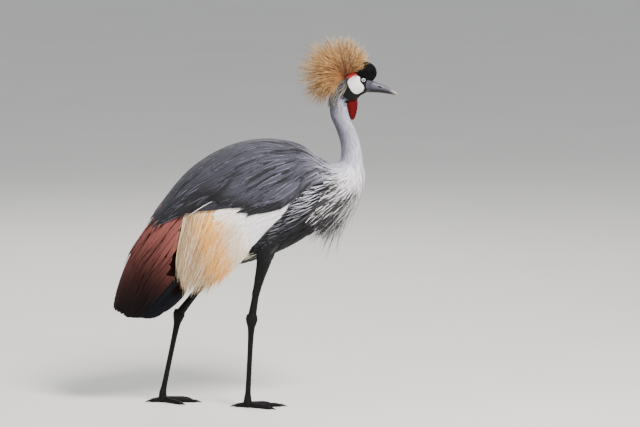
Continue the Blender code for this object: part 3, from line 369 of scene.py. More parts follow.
def rows_on(surface, first, last, row_gap, side_gap, low, high, jitter=0.25, mirrored=True, middle=None):
    """Roots in staggered rows. Gaps are metres, or functions of at. low and high bound the turns of a side."""
    ats, turns = [], []
    at, row = first, 0
    while at <= last:
        bottom, top = (bound(at) if callable(bound) else bound for bound in (low, high))
        mid = middle if middle is not None else (bottom + top) / 2
        _, along, around, _ = frame_of(surface, np.array(at), np.array(mid))
        gap = side_gap(at) if callable(side_gap) else side_gap
        if top > bottom:
            number = max(1, round((top - bottom) * float(np.linalg.norm(around)) / gap))
            spots = bottom + (top - bottom) * (np.arange(number) + 0.5 + (0.25 if row % 2 else -0.25)) / number
            for side in ((RIGHT, LEFT) if mirrored else (LEFT,)):
                loose = (top - bottom) / number * jitter
                turns.append(side * (spots + RNG.uniform(-loose, loose, number)))
                step = (row_gap(at) if callable(row_gap) else row_gap) / float(np.linalg.norm(along))
                ats.append(at + RNG.uniform(-0.3, 0.3, number) * step)
        at += (row_gap(at) if callable(row_gap) else row_gap) / float(np.linalg.norm(along))
        row += 1
    return np.concatenate(ats), np.concatenate(turns)


# Looks


def feather_look(name, roughness, sheen, barbs, slant, relief, streak, mottle, gleam=0.35):
    """Plumage: the tint of each vane, its fine barbs, streaks along it and a mottle over all."""
    made = bpy.data.materials.new(name)
    made.use_nodes = True
    nodes, links = made.node_tree.nodes, made.node_tree.links
    shader = nodes["Principled BSDF"]
    shader.inputs["Roughness"].default_value = roughness
    shader.inputs["Sheen Weight"].default_value = sheen
    shader.inputs["Sheen Roughness"].default_value = 0.5
    shader.inputs["Specular IOR Level"].default_value = gleam

    def node(kind, operation=None, **values):
        item = nodes.new("ShaderNode" + kind)
        if operation:
            item.operation = operation
        for key, value in values.items():
            item.inputs[int(key[1:])].default_value = value
        return item

    tint = node("Attribute")
    tint.attribute_name = "tint"
    place = node("UVMap")
    place.uv_map = "vane"
    parts = node("SeparateXYZ")
    links.new(place.outputs[0], parts.inputs[0])
    local = node("Math", "FRACT")
    links.new(parts.outputs[0], local.inputs[0])
    middle = node("Math", "SUBTRACT", i1=0.5)
    links.new(local.outputs[0], middle.inputs[0])
    side = node("Math", "ABSOLUTE")
    links.new(middle.outputs[0], side.inputs[0])
    slanted = node("Math", "MULTIPLY_ADD", i1=-slant)
    links.new(side.outputs[0], slanted.inputs[0])
    links.new(parts.outputs[1], slanted.inputs[2])
    phase = node("Math", "MULTIPLY", i1=barbs * 2 * math.pi)
    links.new(slanted.outputs[0], phase.inputs[0])
    wave = node("Math", "SINE")
    links.new(phase.outputs[0], wave.inputs[0])
    stretch = node("VectorMath", "MULTIPLY", i1=(9.0, 1.3, 1.0))
    links.new(place.outputs[0], stretch.inputs[0])
    streaks = node("TexNoise")
    streaks.inputs["Scale"].default_value = 1.0
    streaks.inputs["Detail"].default_value = 3.0
    links.new(stretch.outputs[0], streaks.inputs["Vector"])
    coordinates = node("TexCoord")
    cloud = node("TexNoise")
    cloud.inputs["Scale"].default_value = 45.0
    cloud.inputs["Detail"].default_value = 4.0
    links.new(coordinates.outputs["Object"], cloud.inputs["Vector"])
    first = node("Math", "MULTIPLY_ADD", i1=2 * streak, i2=1 - streak - mottle)
    links.new(streaks.outputs["Fac"], first.inputs[0])
    second = node("Math", "MULTIPLY_ADD", i1=2 * mottle)
    links.new(cloud.outputs["Fac"], second.inputs[0])
    links.new(first.outputs[0], second.inputs[2])
    third = node("Math", "MULTIPLY_ADD", i1=0.06)
    links.new(wave.outputs[0], third.inputs[0])
    links.new(second.outputs[0], third.inputs[2])
    shade = node("VectorMath", "SCALE")
    links.new(tint.outputs["Color"], shade.inputs[0])
    links.new(third.outputs[0], shade.inputs["Scale"])
    links.new(shade.outputs[0], shader.inputs["Base Color"])
    height = node("Math", "MULTIPLY_ADD", i1=0.5)
    links.new(wave.outputs[0], height.inputs[0])
    links.new(streaks.outputs["Fac"], height.inputs[2])
    bump = node("Bump")
    bump.inputs["Strength"].default_value = relief
    bump.inputs["Distance"].default_value = 0.0006
    links.new(height.outputs[0], bump.inputs["Height"])
    links.new(bump.outputs["Normal"], shader.inputs["Normal"])
    return made


def skin_look(
    name, roughness, low, high, scale, relief, depth=0.0006, kind="TexNoise", coat=0.0, tinted=False, gleam=0.4,
):
    """Bare skin or horn: two tones by a noise, or the tint attribute mottled by it, with grain."""
    made = bpy.data.materials.new(name)
    made.use_nodes = True
    nodes, links = made.node_tree.nodes, made.node_tree.links
    shader = nodes["Principled BSDF"]
    shader.inputs["Specular IOR Level"].default_value = gleam
    shader.inputs["Coat Weight"].default_value = coat
    shader.inputs["Coat Roughness"].default_value = 0.12
    coordinates = nodes.new("ShaderNodeTexCoord")
    grain = nodes.new("ShaderNode" + kind)
    grain.inputs["Scale"].default_value = scale
    links.new(coordinates.outputs["Object"], grain.inputs["Vector"])
    cloud = nodes.new("ShaderNodeTexNoise")
    cloud.inputs["Scale"].default_value = scale * 0.35
    cloud.inputs["Detail"].default_value = 4.0
    links.new(coordinates.outputs["Object"], cloud.inputs["Vector"])
    value = grain.outputs["Fac"] if kind == "TexNoise" else grain.outputs["Distance"]
    mixed = nodes.new("ShaderNodeMix")
    mixed.data_type = "RGBA"
    links.new(cloud.outputs["Fac"], mixed.inputs["Factor"])
    mixed.inputs["A"].default_value = (*low, 1)
    mixed.inputs["B"].default_value = (*high, 1)
    colour = mixed.outputs["Result"]
    if tinted:
        tint = nodes.new("ShaderNodeAttribute")
        tint.attribute_name = "tint"
        product = nodes.new("ShaderNodeMix")
        product.data_type = "RGBA"
        product.blend_type = "MULTIPLY"
        product.inputs["Factor"].default_value = 1.0
        links.new(tint.outputs["Color"], product.inputs["A"])
        links.new(colour, product.inputs["B"])
        colour = product.outputs["Result"]
    links.new(colour, shader.inputs["Base Color"])
    gloss = nodes.new("ShaderNodeMapRange")
    gloss.inputs["To Min"].default_value = roughness - 0.08
    gloss.inputs["To Max"].default_value = roughness + 0.10
    links.new(cloud.outputs["Fac"], gloss.inputs["Value"])
    links.new(gloss.outputs["Result"], shader.inputs["Roughness"])
    bump = nodes.new("ShaderNodeBump")
    bump.inputs["Strength"].default_value = relief
    bump.inputs["Distance"].default_value = depth
    links.new(value, bump.inputs["Height"])
    links.new(bump.outputs["Normal"], shader.inputs["Normal"])
    return made


def finish(made, slot, *nodes):
    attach(made, "root")
    if nodes:
        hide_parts(*nodes)
    return made


# Colours

SLATE_DARK, SLATE, SLATE_LIGHT = paint(30, 30, 38), paint(71, 70, 84), paint(128, 128, 146)
NECK_GREY, NECK_PALE, WHITE = paint(138, 137, 156), paint(204, 202, 218), paint(240, 236, 240)
BLACK, SOOT = paint(8, 8, 9), paint(28, 28, 33)
STRAW, GOLD, CREAM = paint(226, 200, 158), paint(208, 158, 98), paint(240, 226, 208)
CHESTNUT, CHESTNUT_DARK, MAROON = paint(146, 85, 79), paint(46, 20, 18), paint(25, 10, 12)
BLUE_BLACK = paint(16, 19, 28)
OLIVE_WHITE = paint(205, 202, 180)


def vary(colour, seed, amount):
    return colour * (1 + amount * (2 * np.asarray(seed)[..., None] - 1))


# Skin


def coat_depth(at):
    return np.interp(at, (0, 6, 8, 11, 15, 24), (0.0012, 0.0016, 0.0026, 0.0034, 0.0036, 0.0036))


def skin_tint(at, turn):
    down = np.abs(turn)
    colour = blend(BLACK, SOOT, ramp(at, 6.2, 7.4))
    colour = blend(colour, NECK_GREY, ramp(at, 7.0, 8.2) * (1 - ramp(at, 10.5, 14)))
    return blend(colour, SOOT * 0.8, ramp(at, 12.0, 15.0) * ramp(down, 0.3, 0.5))


def grid_faces(rings, sides):
    i, j = np.meshgrid(np.arange(rings - 1), np.arange(sides), indexing="ij")
    a, b = (i * sides + j).ravel(), (i * sides + (j + 1) % sides).ravel()
    quads = np.stack([a, b, b + sides, a + sides], -1)
    j = np.arange(1, sides - 1)
    first = np.stack([np.zeros_like(j), j + 1, j], -1)
    return [quads, np.concatenate([first, (rings - 1) * sides + first[:, ::-1]])]


THIGH_RADII = [(0.034, 0.029), (0.0162, 0.0156), (0.0098, 0.0094), (0.0092, 0.0088)]
THIGHS = {
    RIGHT: [(0.040, 0.036, 0.430), (0.022, 0.046, 0.350), (0.010, 0.049, 0.305), (0.004, 0.050, 0.282)],
    LEFT: [(-0.030, 0.032, 0.430), (-0.075, 0.038, 0.350), (-0.112, 0.042, 0.305), (-0.136, 0.044, 0.277)],
}


def mirrored(points, side):
    return np.asarray(points, float) * np.array([1, side, 1])


def thigh_surface(side):
    return limb_surface(mirrored(THIGHS[side], side), THIGH_RADII)


def make_skin():
    """Head, neck, trunk and thighs in one skin."""
    sides = 72
    at = np.linspace(0.006, 24, 260)[:, None] * np.ones((1, sides))
    turn = np.ones((260, 1)) * np.linspace(-1, 1, sides, endpoint=False)[None]
    place, _, _, normal = frame_of(flesh, at, turn)
    points = [(place - normal * coat_depth(at)[..., None]).reshape(-1, 3)]
    tints = [skin_tint(at, turn).reshape(-1, 3)]
    bakes = [(unwrapped(flesh, at, turn) * [1, 0.8]).reshape(-1, 2)]
    quads, tris = grid_faces(260, sides)
    quads = [quads]
    tris = [tris]
    start = 260 * sides
    for side in (RIGHT, LEFT):
        surface = thigh_surface(side)
        at = np.linspace(0, 3, 30)[:, None] * np.ones((1, 32))
        turn = np.ones((30, 1)) * np.linspace(-1, 1, 32, endpoint=False)[None]
        place, _, _, normal = frame_of(surface, at, turn)
        points.append((place - normal * 0.0016).reshape(-1, 3))
        tints.append(np.broadcast_to(SOOT * 0.6, (30 * 32, 3)))
        corner = np.array([0.02 + 0.5 * (side > 0), 0.84])
        bakes.append(corner + np.stack([at / 3 * 0.4, (turn + 1) / 2 * 0.14], -1).reshape(-1, 2))
        more_quads, more_tris = grid_faces(30, 32)
        quads.append(more_quads + start)
        tris.append(more_tris + start)
        start += 30 * 32
    tints, bakes = np.concatenate(tints), np.concatenate(bakes)
    look = skin_look("skin", 0.7, (0.9,) * 3, (1.1,) * 3, 400, 0.3, tinted=True, gleam=0.12)
    made = mesh_of(
        "skin", np.concatenate(points), [np.concatenate(quads), np.concatenate(tris)], tints, bakes, None, look,
    )
    return made


def turned_out(made):
    """Turns a closed mesh's faces outward."""
    import bmesh
    work = bmesh.new()
    work.from_mesh(made.data)
    bmesh.ops.recalc_face_normals(work, faces=work.faces)
    work.to_mesh(made.data)
    work.free()
    return made


# Head

EYE_CENTRE, EYE_RADIUS = np.array([0.2600, 0.0142, 0.7895]), 0.0066


def head_tint(at, turn, share, column, seed):
    grey = ramp(at + 0.6 * (seed - 0.5), 5.9, 6.6) * (1 - ramp(np.abs(turn), 0.62, 0.8))
    return vary(blend(BLACK, NECK_GREY, grey), seed, 0.08)


def make_head_coat(look):
    at, turn = rows_on(flesh, 0.35, 6.9, 0.0018, 0.0016, 0.0, 1.0, middle=0.5, jitter=0.4)
    spot = flesh(at, turn)
    far = np.hypot(spot[:, 0] - EYE_CENTRE[0], spot[:, 2] - EYE_CENTRE[2])
    bare = inside(LORE, spot[:, 0], spot[:, 2]) | inside(TEMPLE, spot[:, 0] + 0.002, spot[:, 2])
    keep = (far > np.where(spot[:, 0] < EYE_CENTRE[0], 0.0048, 0.0068)) & ~bare & (spot[:, 0] < 0.2800)
    at, turn = at[keep], turn[keep]
    length = np.interp(at, (0.3, 2, 5, 7), (0.0022, 0.0032, 0.0060, 0.0100)) * RNG.uniform(0.8, 1.2, len(at))
    width = np.interp(at, (0.3, 3, 5, 7), (0.0005, 0.0006, 0.0007, 0.0010)) * RNG.uniform(0.8, 1.2, len(at))
    return blades(
        "coat_head", flesh, at, turn, RNG.normal(0, 0.1, len(at)), length, width,
        (-0.0012, -0.0002, 0.0002, 0.0003), look, head_tint, (0.0, 0.35, 0.72, 1.0), (0.7, 1.0, 0.7, 0), 0.00025,
    )


def make_nape(look):
    """Short loose filaments at the foot of the crest, laid over the nape."""
    at, turn = rows_on(flesh, 4.0, 6.7, 0.0026, 0.0014, 0.02, 0.42, jitter=0.5)
    count = len(at)
    shares = np.array([0.0, 0.25, 0.55, 0.8, 1.0])
    rise = RNG.uniform(0.2, 1.0, count)[:, None] * np.interp(np.abs(turn), (0.1, 0.5), (1.0, 0.35))[:, None]

    def tone(at, turn, share, column, seed):
        colour = blend(BLACK, paint(150, 148, 150), (seed > 0.42) * 0.9)
        straw = np.where(np.abs(turn) < 0.22, 0.70, 0.94)
        colour = blend(colour, paint(198, 168, 120), (seed > straw) * 0.85)
        return blend(colour * 0.4, colour, ramp(share, 0.0, 0.6))

    return blades(
        "nape_filaments", flesh, at, turn, RNG.normal(0, 0.13, count),
        RNG.uniform(0.020, 0.046, count) * np.interp(at, (5.0, 6.7), (1.0, 0.5)),
        0.00030 * RNG.uniform(0.7, 1.3, count), -0.0006 + 0.0070 * rise * shares[None], look, tone, shares,
        (0.9, 1.0, 0.9, 0.7, 0), 0.0003, curl=RNG.normal(0, 0.1, count),
    )


def inside(outline, x, z):
    """Whether points lie inside a closed outline of (x, z)."""
    corners = np.asarray(outline, float)
    after = np.roll(corners, -1, axis=0)
    x, z = np.asarray(x)[..., None], np.asarray(z)[..., None]
    crosses = (corners[:, 1] > z) != (after[:, 1] > z)
    slope = (after[:, 0] - corners[:, 0]) / (after[:, 1] - corners[:, 1] + 1e-12)
    return np.sum(crosses & (x < corners[:, 0] + slope * (z - corners[:, 1])), axis=-1) % 2 == 1


def rounded(outline, count):
    """Smooth closed line through the corners of an outline."""
    corners = np.asarray(outline, float)
    at = np.linspace(0, len(corners), count, endpoint=False) + 3
    return spline(np.concatenate([corners[-3:], corners, corners[:3]]), at)


# Outlines of the bare skin on the side of the head, as (x, z).
CHEEK = [
    (0.2395, 0.8020), (0.2486, 0.8005), (0.2533, 0.7960), (0.2527, 0.7893), (0.2562, 0.7825), (0.2622, 0.7756),
    (0.2634, 0.7673), (0.2587, 0.7589), (0.2468, 0.7530), (0.2358, 0.7571), (0.2275, 0.7673), (0.2220, 0.7783),
    (0.2214, 0.7885), (0.2284, 0.7975),
]
TEMPLE = [
    (0.2195, 0.7915), (0.2205, 0.7990), (0.2255, 0.8080), (0.2325, 0.8150), (0.2385, 0.8100), (0.2460, 0.8040),
    (0.2470, 0.8000), (0.2385, 0.8000), (0.2275, 0.7950),
]
LORE = [
    (0.2700, 0.7900), (0.2785, 0.7925), (0.2840, 0.7890), (0.2830, 0.7765), (0.2775, 0.7680), (0.2690, 0.7668),
    (0.2655, 0.7760),
]


def patch_on(tree, outline, side, bulge, rise, rings=10, sides=40, exponent=2.0):
    """A raised patch of bare skin on the side of the head inside an outline."""
    edge = rounded(outline, sides)
    middle = edge.mean(0)
    rows = []
    for k in range(rings + 1):
        share = 1 - k / rings
        spots = middle + (edge - middle) * share
        level = rise * min(1.0, k / 2) + bulge * (1 - share**exponent)
        row = []
        for x, z in spots:
            hit, normal, _, _ = tree.ray_cast(Vector((x, side * 0.2, z)), Vector((0, -side, 0)))
            if hit is None:
                hit, normal, _, _ = tree.find_nearest(Vector((x, side * 0.02, z)))
            lift = level if k else -0.0008
            row.append((hit[0], hit[1] + side * lift, hit[2]))
        rows.append(row)
    points = np.array(rows)
    count = (rings + 1) * sides
    i, j = np.meshgrid(np.arange(rings), np.arange(sides), indexing="ij")
    a, b = (i * sides + j).ravel(), (i * sides + (j + 1) % sides).ravel()
    quads = np.stack([a, b, b + sides, a + sides], -1)
    under = points[0] - np.array([0, side * 0.002, 0])
    points = np.concatenate([points.reshape(-1, 3), under, under.mean(0)[None]])
    j = np.arange(sides)
    rim = np.stack([j, count + j, count + (j + 1) % sides, (j + 1) % sides], -1)
    cap = np.stack([count + j, np.full(sides, count + sides), count + (j + 1) % sides], -1)
    return points, [np.concatenate([quads, rim]), cap]


def ellipsoid_surface(centre, radii, tilt):
    """Surface whose at runs from the top (0) to the bottom (1) and whose turn runs round it."""
    def surface(at, turn):
        polar, round_ = np.pi * at, np.pi * turn
        x = np.sin(polar) * np.cos(round_) * radii[0]
        y = np.sin(polar) * np.sin(round_) * radii[1]
        z = np.cos(polar) * radii[2]
        return np.stack([
            centre[0] + x * math.cos(tilt) - z * math.sin(tilt), centre[1] + y,
            centre[2] + x * math.sin(tilt) + z * math.cos(tilt),
        ], -1)
    return surface


def shell_mesh(name, surface, first, last, rings, sides, look, depth=0.0, tint=None):
    at = np.linspace(first, last, rings)[:, None] * np.ones((1, sides))
    turn = np.ones((rings, 1)) * np.linspace(-1, 1, sides, endpoint=False)[None]
    place, _, _, normal = frame_of(surface, at, turn)
    outward = np.sign(dot(normal, place - place.reshape(-1, 3).mean(0)).mean())
    points = place - outward * normal * depth
    tints = None if tint is None else tint(at, turn)
    return turned_out(mesh_of(name, points, grid_faces(rings, sides), tints, None, None, look))


def joined(first, *others):
    """Others go into first as loose shells of one object."""
    with bpy.context.temp_override(active_object=first, selected_editable_objects=[first, *others]):
        bpy.ops.object.join()
    return first


BILL = [
    (0.2730, 0.7915, 0.2650, 0.7690, 0.2620, 0.7590, 0.0142),
    (0.2800, 0.7882, 0.2700, 0.7680, 0.2665, 0.7583, 0.0122),
    (0.2859, 0.7851, 0.2760, 0.7670, 0.2725, 0.7581, 0.0106),
    (0.2930, 0.7822, 0.2850, 0.7658, 0.2830, 0.7579, 0.0091),
    (0.3030, 0.7785, 0.3000, 0.7643, 0.2990, 0.7573, 0.0074),
    (0.3160, 0.7728, 0.3150, 0.7614, 0.3150, 0.7556, 0.0056),
    (0.3280, 0.7655, 0.3275, 0.7578, 0.3275, 0.7533, 0.0038),
    (0.3375, 0.7590, 0.3370, 0.7550, 0.3365, 0.7522, 0.0022),
    (0.3422, 0.7548, 0.3412, 0.7535, 0.3400, 0.7521, 0.0009),
]


def mandible(name, upper, look):
    """Half a bill: rounded roof or keel, rolled edge along the mouth."""
    at = np.linspace(0, len(BILL) - 1, 66)
    rows = spline(BILL, at)
    angle = np.radians(np.linspace(0, 180, 21))
    points, tints = [], []
    for row, here in zip(rows, at):
        ridge = np.array([row[0], 0, row[1]] if upper else [row[4], 0, row[5]])
        mouth = np.array([row[2], 0, row[3] + (0.00025 if upper else -0.00025)])
        wide = row[6] * (1.0 if upper else 0.92)
        ring = [
            mouth + (ridge - mouth) * math.sin(a) ** (0.9 if upper else 0.8) + np.array([0, wide * math.cos(a), 0])
            for a in angle
        ]
        ring += [mouth + np.array([0, -wide * share, 0]) for share in (0.6, 0.0, -0.6)]
        points.append(ring)
        side_tone = paint(88, 86, 99) if upper else paint(24, 22, 26)
        tip_tone = paint(206, 198, 188) if upper else paint(120, 114, 110)
        tone = blend(blend(paint(66, 64, 74), side_tone, ramp(here, 0.8, 2.8)), tip_tone, ramp(here, 5.3, 7.6))
        rim = 1 - 0.55 * upper * ramp(-np.sin(np.append(angle, [0.0, 0.0, 0.0])), -0.40, -0.05)
        tints.append(tone * rim[:, None])
    count = len(points[0])
    faces = grid_faces(len(points), count)
    return turned_out(mesh_of(name, np.array(points), faces, np.array(tints), None, None, look, 50))


NOSTRIL, NOSTRIL_RADII, NOSTRIL_TILT = (0.3000, 0.0074, 0.7722), (0.0046, 0.0030, 0.0013), -0.34


def darken_nostrils(mesh):
    """Black lining of the two nostrils."""
    spots = np.empty(len(mesh.vertices) * 3, np.float32)
    mesh.vertices.foreach_get("co", spots)
    away = spots.reshape(-1, 3) * [1, 1, 1] - np.array(NOSTRIL) * [1, 0, 1]
    x = away[:, 0] * math.cos(NOSTRIL_TILT) + away[:, 2] * math.sin(NOSTRIL_TILT)
    z = away[:, 2] * math.cos(NOSTRIL_TILT) - away[:, 0] * math.sin(NOSTRIL_TILT)
    y = np.abs(away[:, 1]) - NOSTRIL[1]
    lining = (x / NOSTRIL_RADII[0]) ** 2 + (y / NOSTRIL_RADII[1]) ** 2 + (z / NOSTRIL_RADII[2]) ** 2 < 1.10
    tint = np.empty(len(mesh.vertices) * 4, np.float32)
    layer = mesh.color_attributes["tint"].data
    layer.foreach_get("color", tint)
    tint = tint.reshape(-1, 4)
    tint[lining, :3] = BLACK
    layer.foreach_set("color", tint.ravel())


def make_bill(look):
    upper, lower = mandible("bill_top", True, look), mandible("bill_bottom", False, look)
    for side in (RIGHT, LEFT):
        hole = shell_mesh(
            "nostril", ellipsoid_surface(mirrored(NOSTRIL, side), NOSTRIL_RADII, NOSTRIL_TILT),
            0.001, 0.999, 16, 24, None, tint=lambda at, turn: np.broadcast_to(BLACK, (*at.shape, 3)),
        )
        modifier = upper.modifiers.new("nostril", "BOOLEAN")
        modifier.operation, modifier.solver, modifier.object = "DIFFERENCE", "EXACT", hole
        graph = bpy.context.evaluated_depsgraph_get()
        cut = bpy.data.meshes.new_from_object(upper.evaluated_get(graph))
        upper.modifiers.clear()
        upper.data = cut
        cut.set_sharp_from_angle(angle=math.radians(50))
        darken_nostrils(cut)
        bpy.data.objects.remove(hole, do_unlink=True)
    finish(upper, "bill_horn", "bill_upper")
    finish(lower, "bill_horn", "bill_lower")


def eye_axes(side):
    """Outward axis of the eye, then its forward and upward ones."""
    facing = unit(np.array([0.18, side * 1.0, 0.12]))
    ahead = unit(np.array([1.0, 0, 0]) - facing[0] * facing)
    rise = np.cross(ahead, facing) * side * -1
    return facing, ahead, rise * np.sign(rise[2])


def ball_points(side, polar, around, radius):
    """Points about the eye's centre from the angle to its outward axis and the angle round it."""
    facing, ahead, rise = eye_axes(side)
    ring = np.cos(around)[..., None] * ahead + np.sin(around)[..., None] * rise
    spot = np.sin(polar)[..., None] * ring + np.cos(polar)[..., None] * facing
    return EYE_CENTRE * [1, side, 1] + np.asarray(radius)[..., None] * spot


def make_eye(side):
    """Eyeball: pupil, pale iris and dark rim by the angle from the outward axis."""
    rings, sides = 44, 56
    polar = np.linspace(0.001, 1, rings) ** 1.3 * np.pi * 0.98
    around = np.linspace(0, 2 * np.pi, sides, endpoint=False)
    grid_polar, grid_around = np.meshgrid(polar, around, indexing="ij")
    points = ball_points(side, grid_polar, grid_around, np.full(grid_polar.shape, EYE_RADIUS))
    wide = np.degrees(polar)
    colour = blend(BLACK * 0.4, paint(196, 208, 218), ramp(wide, 23, 25))
    colour = blend(colour, paint(150, 166, 182), ramp(wide, 31, 43))
    colour = blend(colour, BLACK, ramp(wide, 46, 50))
    tints = np.broadcast_to(colour[:, None], (rings, sides, 3))
    name = SIDE_NAMES[side]
    look = skin_look(f"eye_{name}", 0.12, (0.85,) * 3, (1.12,) * 3, 1400, 0.0, coat=1.0, tinted=True)
    made = mesh_of(f"eyeball_{name}", points, grid_faces(rings, sides), tints, None, None, look)
    finish(turned_out(made), "eye", f"eye_{name}")


# Lid profile: angle past the opening's edge in degrees, distance from the eye's centre in eye radii.
LID = [(1, 0.99), (-1, 1.02), (0, 1.060), (4, 1.085), (10, 1.085), (18, 1.065), (30, 1.04), (46, 1.02), (46, 0.90), (6, 0.93)]


def make_lids(side, look):
    """Lids as one shell over the eyeball round an almond opening, lower at the top."""
    around = np.linspace(0, 2 * np.pi, 60, endpoint=False)
    opening = 43 + 9 * np.cos(around) ** 2 - 7 * np.sin(around)
    fold = 1 + 0.02 * np.maximum(0, np.sin(around))
    polar = np.radians(opening[None] + np.array([row[0] for row in LID])[:, None])
    radius = EYE_RADIUS * np.array([row[1] for row in LID])[:, None] * fold[None]
    points = ball_points(side, polar, np.broadcast_to(around, polar.shape), radius)
    rows, sides = polar.shape
    i, j = np.meshgrid(np.arange(rows), np.arange(sides), indexing="ij")
    a, b = (i * sides + j).ravel(), (i * sides + (j + 1) % sides).ravel()
    after = rows * sides
    quads = np.stack([a, b, (b + sides) % after, (a + sides) % after], -1)
    made = turned_out(mesh_of(f"lids_{SIDE_NAMES[side]}", points, [quads], None, None, None, look))
    return finish(made, "black_plumage")


CAP = ((0.2665, 0, 0.8065), (0.0265, 0.0205, 0.0245), -0.244)


def make_cap(look, velvet):
    """Velvet cushion of the forehead, with its pile."""
    surface = ellipsoid_surface(*CAP)
    core = shell_mesh("cap_core", surface, 0.001, 0.999, 40, 56, look, 0.0012)
    finish(core, "black_plumage", "cap")
    count = 9500
    at = np.arccos(1 - 2 * (np.arange(count) + 0.5) / count) / np.pi
    turn = (np.arange(count) * (math.sqrt(5) - 1)) % 2 - 1
    spot = surface(at, turn)
    away = np.hypot(spot[:, 0] - EYE_CENTRE[0], spot[:, 2] - EYE_CENTRE[2])
    keep = (at > 0.03) & (at < 0.97) & ((away > 0.0095) | (np.abs(spot[:, 1]) < 0.008))
    at, turn, spot = at[keep], turn[keep], spot[keep]
    centre = np.array(CAP[0])
    out = unit((spot - centre) / np.array(CAP[1]) ** 2)
    back = unit(np.array([-1.0, 0, -0.15]) + RNG.normal(0, 0.45, (len(at), 3)))
    length = RNG.uniform(0.0012, 0.0024, len(at))[:, None]
    path = np.stack([
        spot - out * 0.0014, spot + out * 0.0001 + back * length * 0.3,
        spot + out * 0.0006 + back * length * 0.9,
    ], 1)
    bake = np.stack([0.02 + 0.96 * at, 0.5 + 0.48 * turn], -1)
    pile = strands("cap_pile", path, (0.00030, 0.00026, 0), velvet, lambda s, seed: vary(
        np.broadcast_to(BLACK * 0.7, (*np.shape(s), 3)), seed, 0.15), bake)
    finish(pile, "black_plumage")


def make_wattle(look):
    """Throat wattle: a pleated drop of bare skin."""
    rings, sides = 60, 72
    share = np.linspace(0, 1, rings)[:, None]
    angle = np.linspace(0, 2 * np.pi, sides, endpoint=False)[None]
    swell = np.sin(np.pi * (0.12 + 0.88 * (1 - share) ** 0.8) * 0.62)
    fold = 1 + 0.14 * np.cos(3 * angle) + 0.05 * np.cos(9 * angle + 5 * share) + 0.02 * np.sin(38 * share + 2 * angle)
    x = 0.2325 + 0.0017 * share + 0.0122 * swell * fold * np.cos(angle)
    y = 0.0082 * swell * fold * np.sin(angle)
    z = 0.7450 - 0.0525 * share + 0.0 * angle
    points = np.stack([x, y, z], -1)
    made = turned_out(mesh_of("wattle", points, grid_faces(rings, sides), None, None, None, look))
    finish(made, "bare_red_skin", "throat_wattle")


CREST_ROOT = np.array([0.2180, 0.0, 0.8030])
CREST_REACH = [(36, 0.058), (60, 0.078), (90, 0.097), (135, 0.117), (180, 0.129), (210, 0.121), (240, 0.092)]


def crest_tint(share, seed):
    """Tan at the root, straw further out, ringed with dark towards the tip."""
    colour = blend(paint(186, 118, 66), paint(204, 142, 80), ramp(share, 0.10, 0.45))
    colour = blend(colour, paint(206, 154, 86), ramp(share, 0.5, 0.8))
    colour = blend(colour, paint(236, 214, 154), ramp(share, 0.82, 0.97) * (seed > 0.3))
    # The dark rings towards the tip are partly the bristles' own speckle and partly painted shade between them; the
    # few wholly dark bristles are painted shade in the gaps.
    rings = ramp(np.sin(share * 46 + seed * 90), 0.2, 0.7) * ramp(share, 0.35, 0.65) * 0.85
    colour = blend(colour, paint(52, 38, 26), rings * (seed > 0.30))
    colour = blend(colour, paint(40, 30, 22), (seed < 0.08) * 0.85)
    return vary(colour, (seed * 7.3) % 1, 0.20)


def make_crest(look):
    """Fan of bristles over half a ball behind the cap."""
    count = 2700
    angles, reaches = zip(*CREST_REACH)
    angle = RNG.uniform(36, 240, count)
    splay = np.radians(56) * np.sin(RNG.uniform(-1, 1, count) * np.pi / 2)
    reach = np.interp(angle, angles, reaches) * RNG.uniform(0.72, 1.0, count)
    reach = reach * (1 - 0.12 * (splay / np.radians(56)) ** 2)
    a = np.radians(angle)
    ahead = np.stack([np.cos(a) * np.cos(splay), np.sin(splay), np.sin(a) * np.cos(splay)], -1)
    base = CREST_ROOT + RNG.normal(0, 1, (count, 3)) * [0.0042, 0.0046, 0.0026]
    base[:, 0] += np.interp(angle, (36, 60, 110), (0.013, 0.009, -0.002))
    base[:, 2] += np.interp(angle, (36, 60, 110), (0.001, 0.001, 0.0))
    bow = np.array([-0.010, 0, 0.004]) * np.maximum(0, (angle - 200) / 30)[:, None]
    bow = bow + np.array([-0.003, 0, 0.005]) * np.maximum(0, (60 - angle) / 20)[:, None]
    shares = np.linspace(0, 1, 7)
    droop = np.array([0, 0, -0.005]) * RNG.uniform(0.0, 1.2, count)[:, None]
    side = unit(np.cross(ahead, RNG.normal(0, 1, (count, 3))))
    crook = np.abs(RNG.normal(0.0, 0.0022, count))[:, None]
    path = np.stack([
        base + bow * math.sin(s * np.pi) + ahead * ((reach + 0.005) * s)[:, None] + droop * s**2.2
        + side * crook * math.sin(s * 2.6)
        for s in shares
    ], 1)
    radii = np.interp(shares, (0, 0.5, 0.9, 1), (0.00034, 0.00044, 0.00036, 0.0002))
    radii = radii * RNG.uniform(0.75, 1.2, count)[:, None]
    bake = np.stack([0.05 + 0.9 * (angle - 36) / 204, 0.5 + 0.45 * splay / np.radians(60)], -1)
    made = strands("crest_bristles", path, radii, look, crest_tint, bake, flat=0.7)
    finish(made, "crest_straw", "crest")


def filament_tint(share, seed):
    return vary(blend(BLACK, paint(232, 214, 170), (seed > 0.55) * 1.0), seed, 0.1)


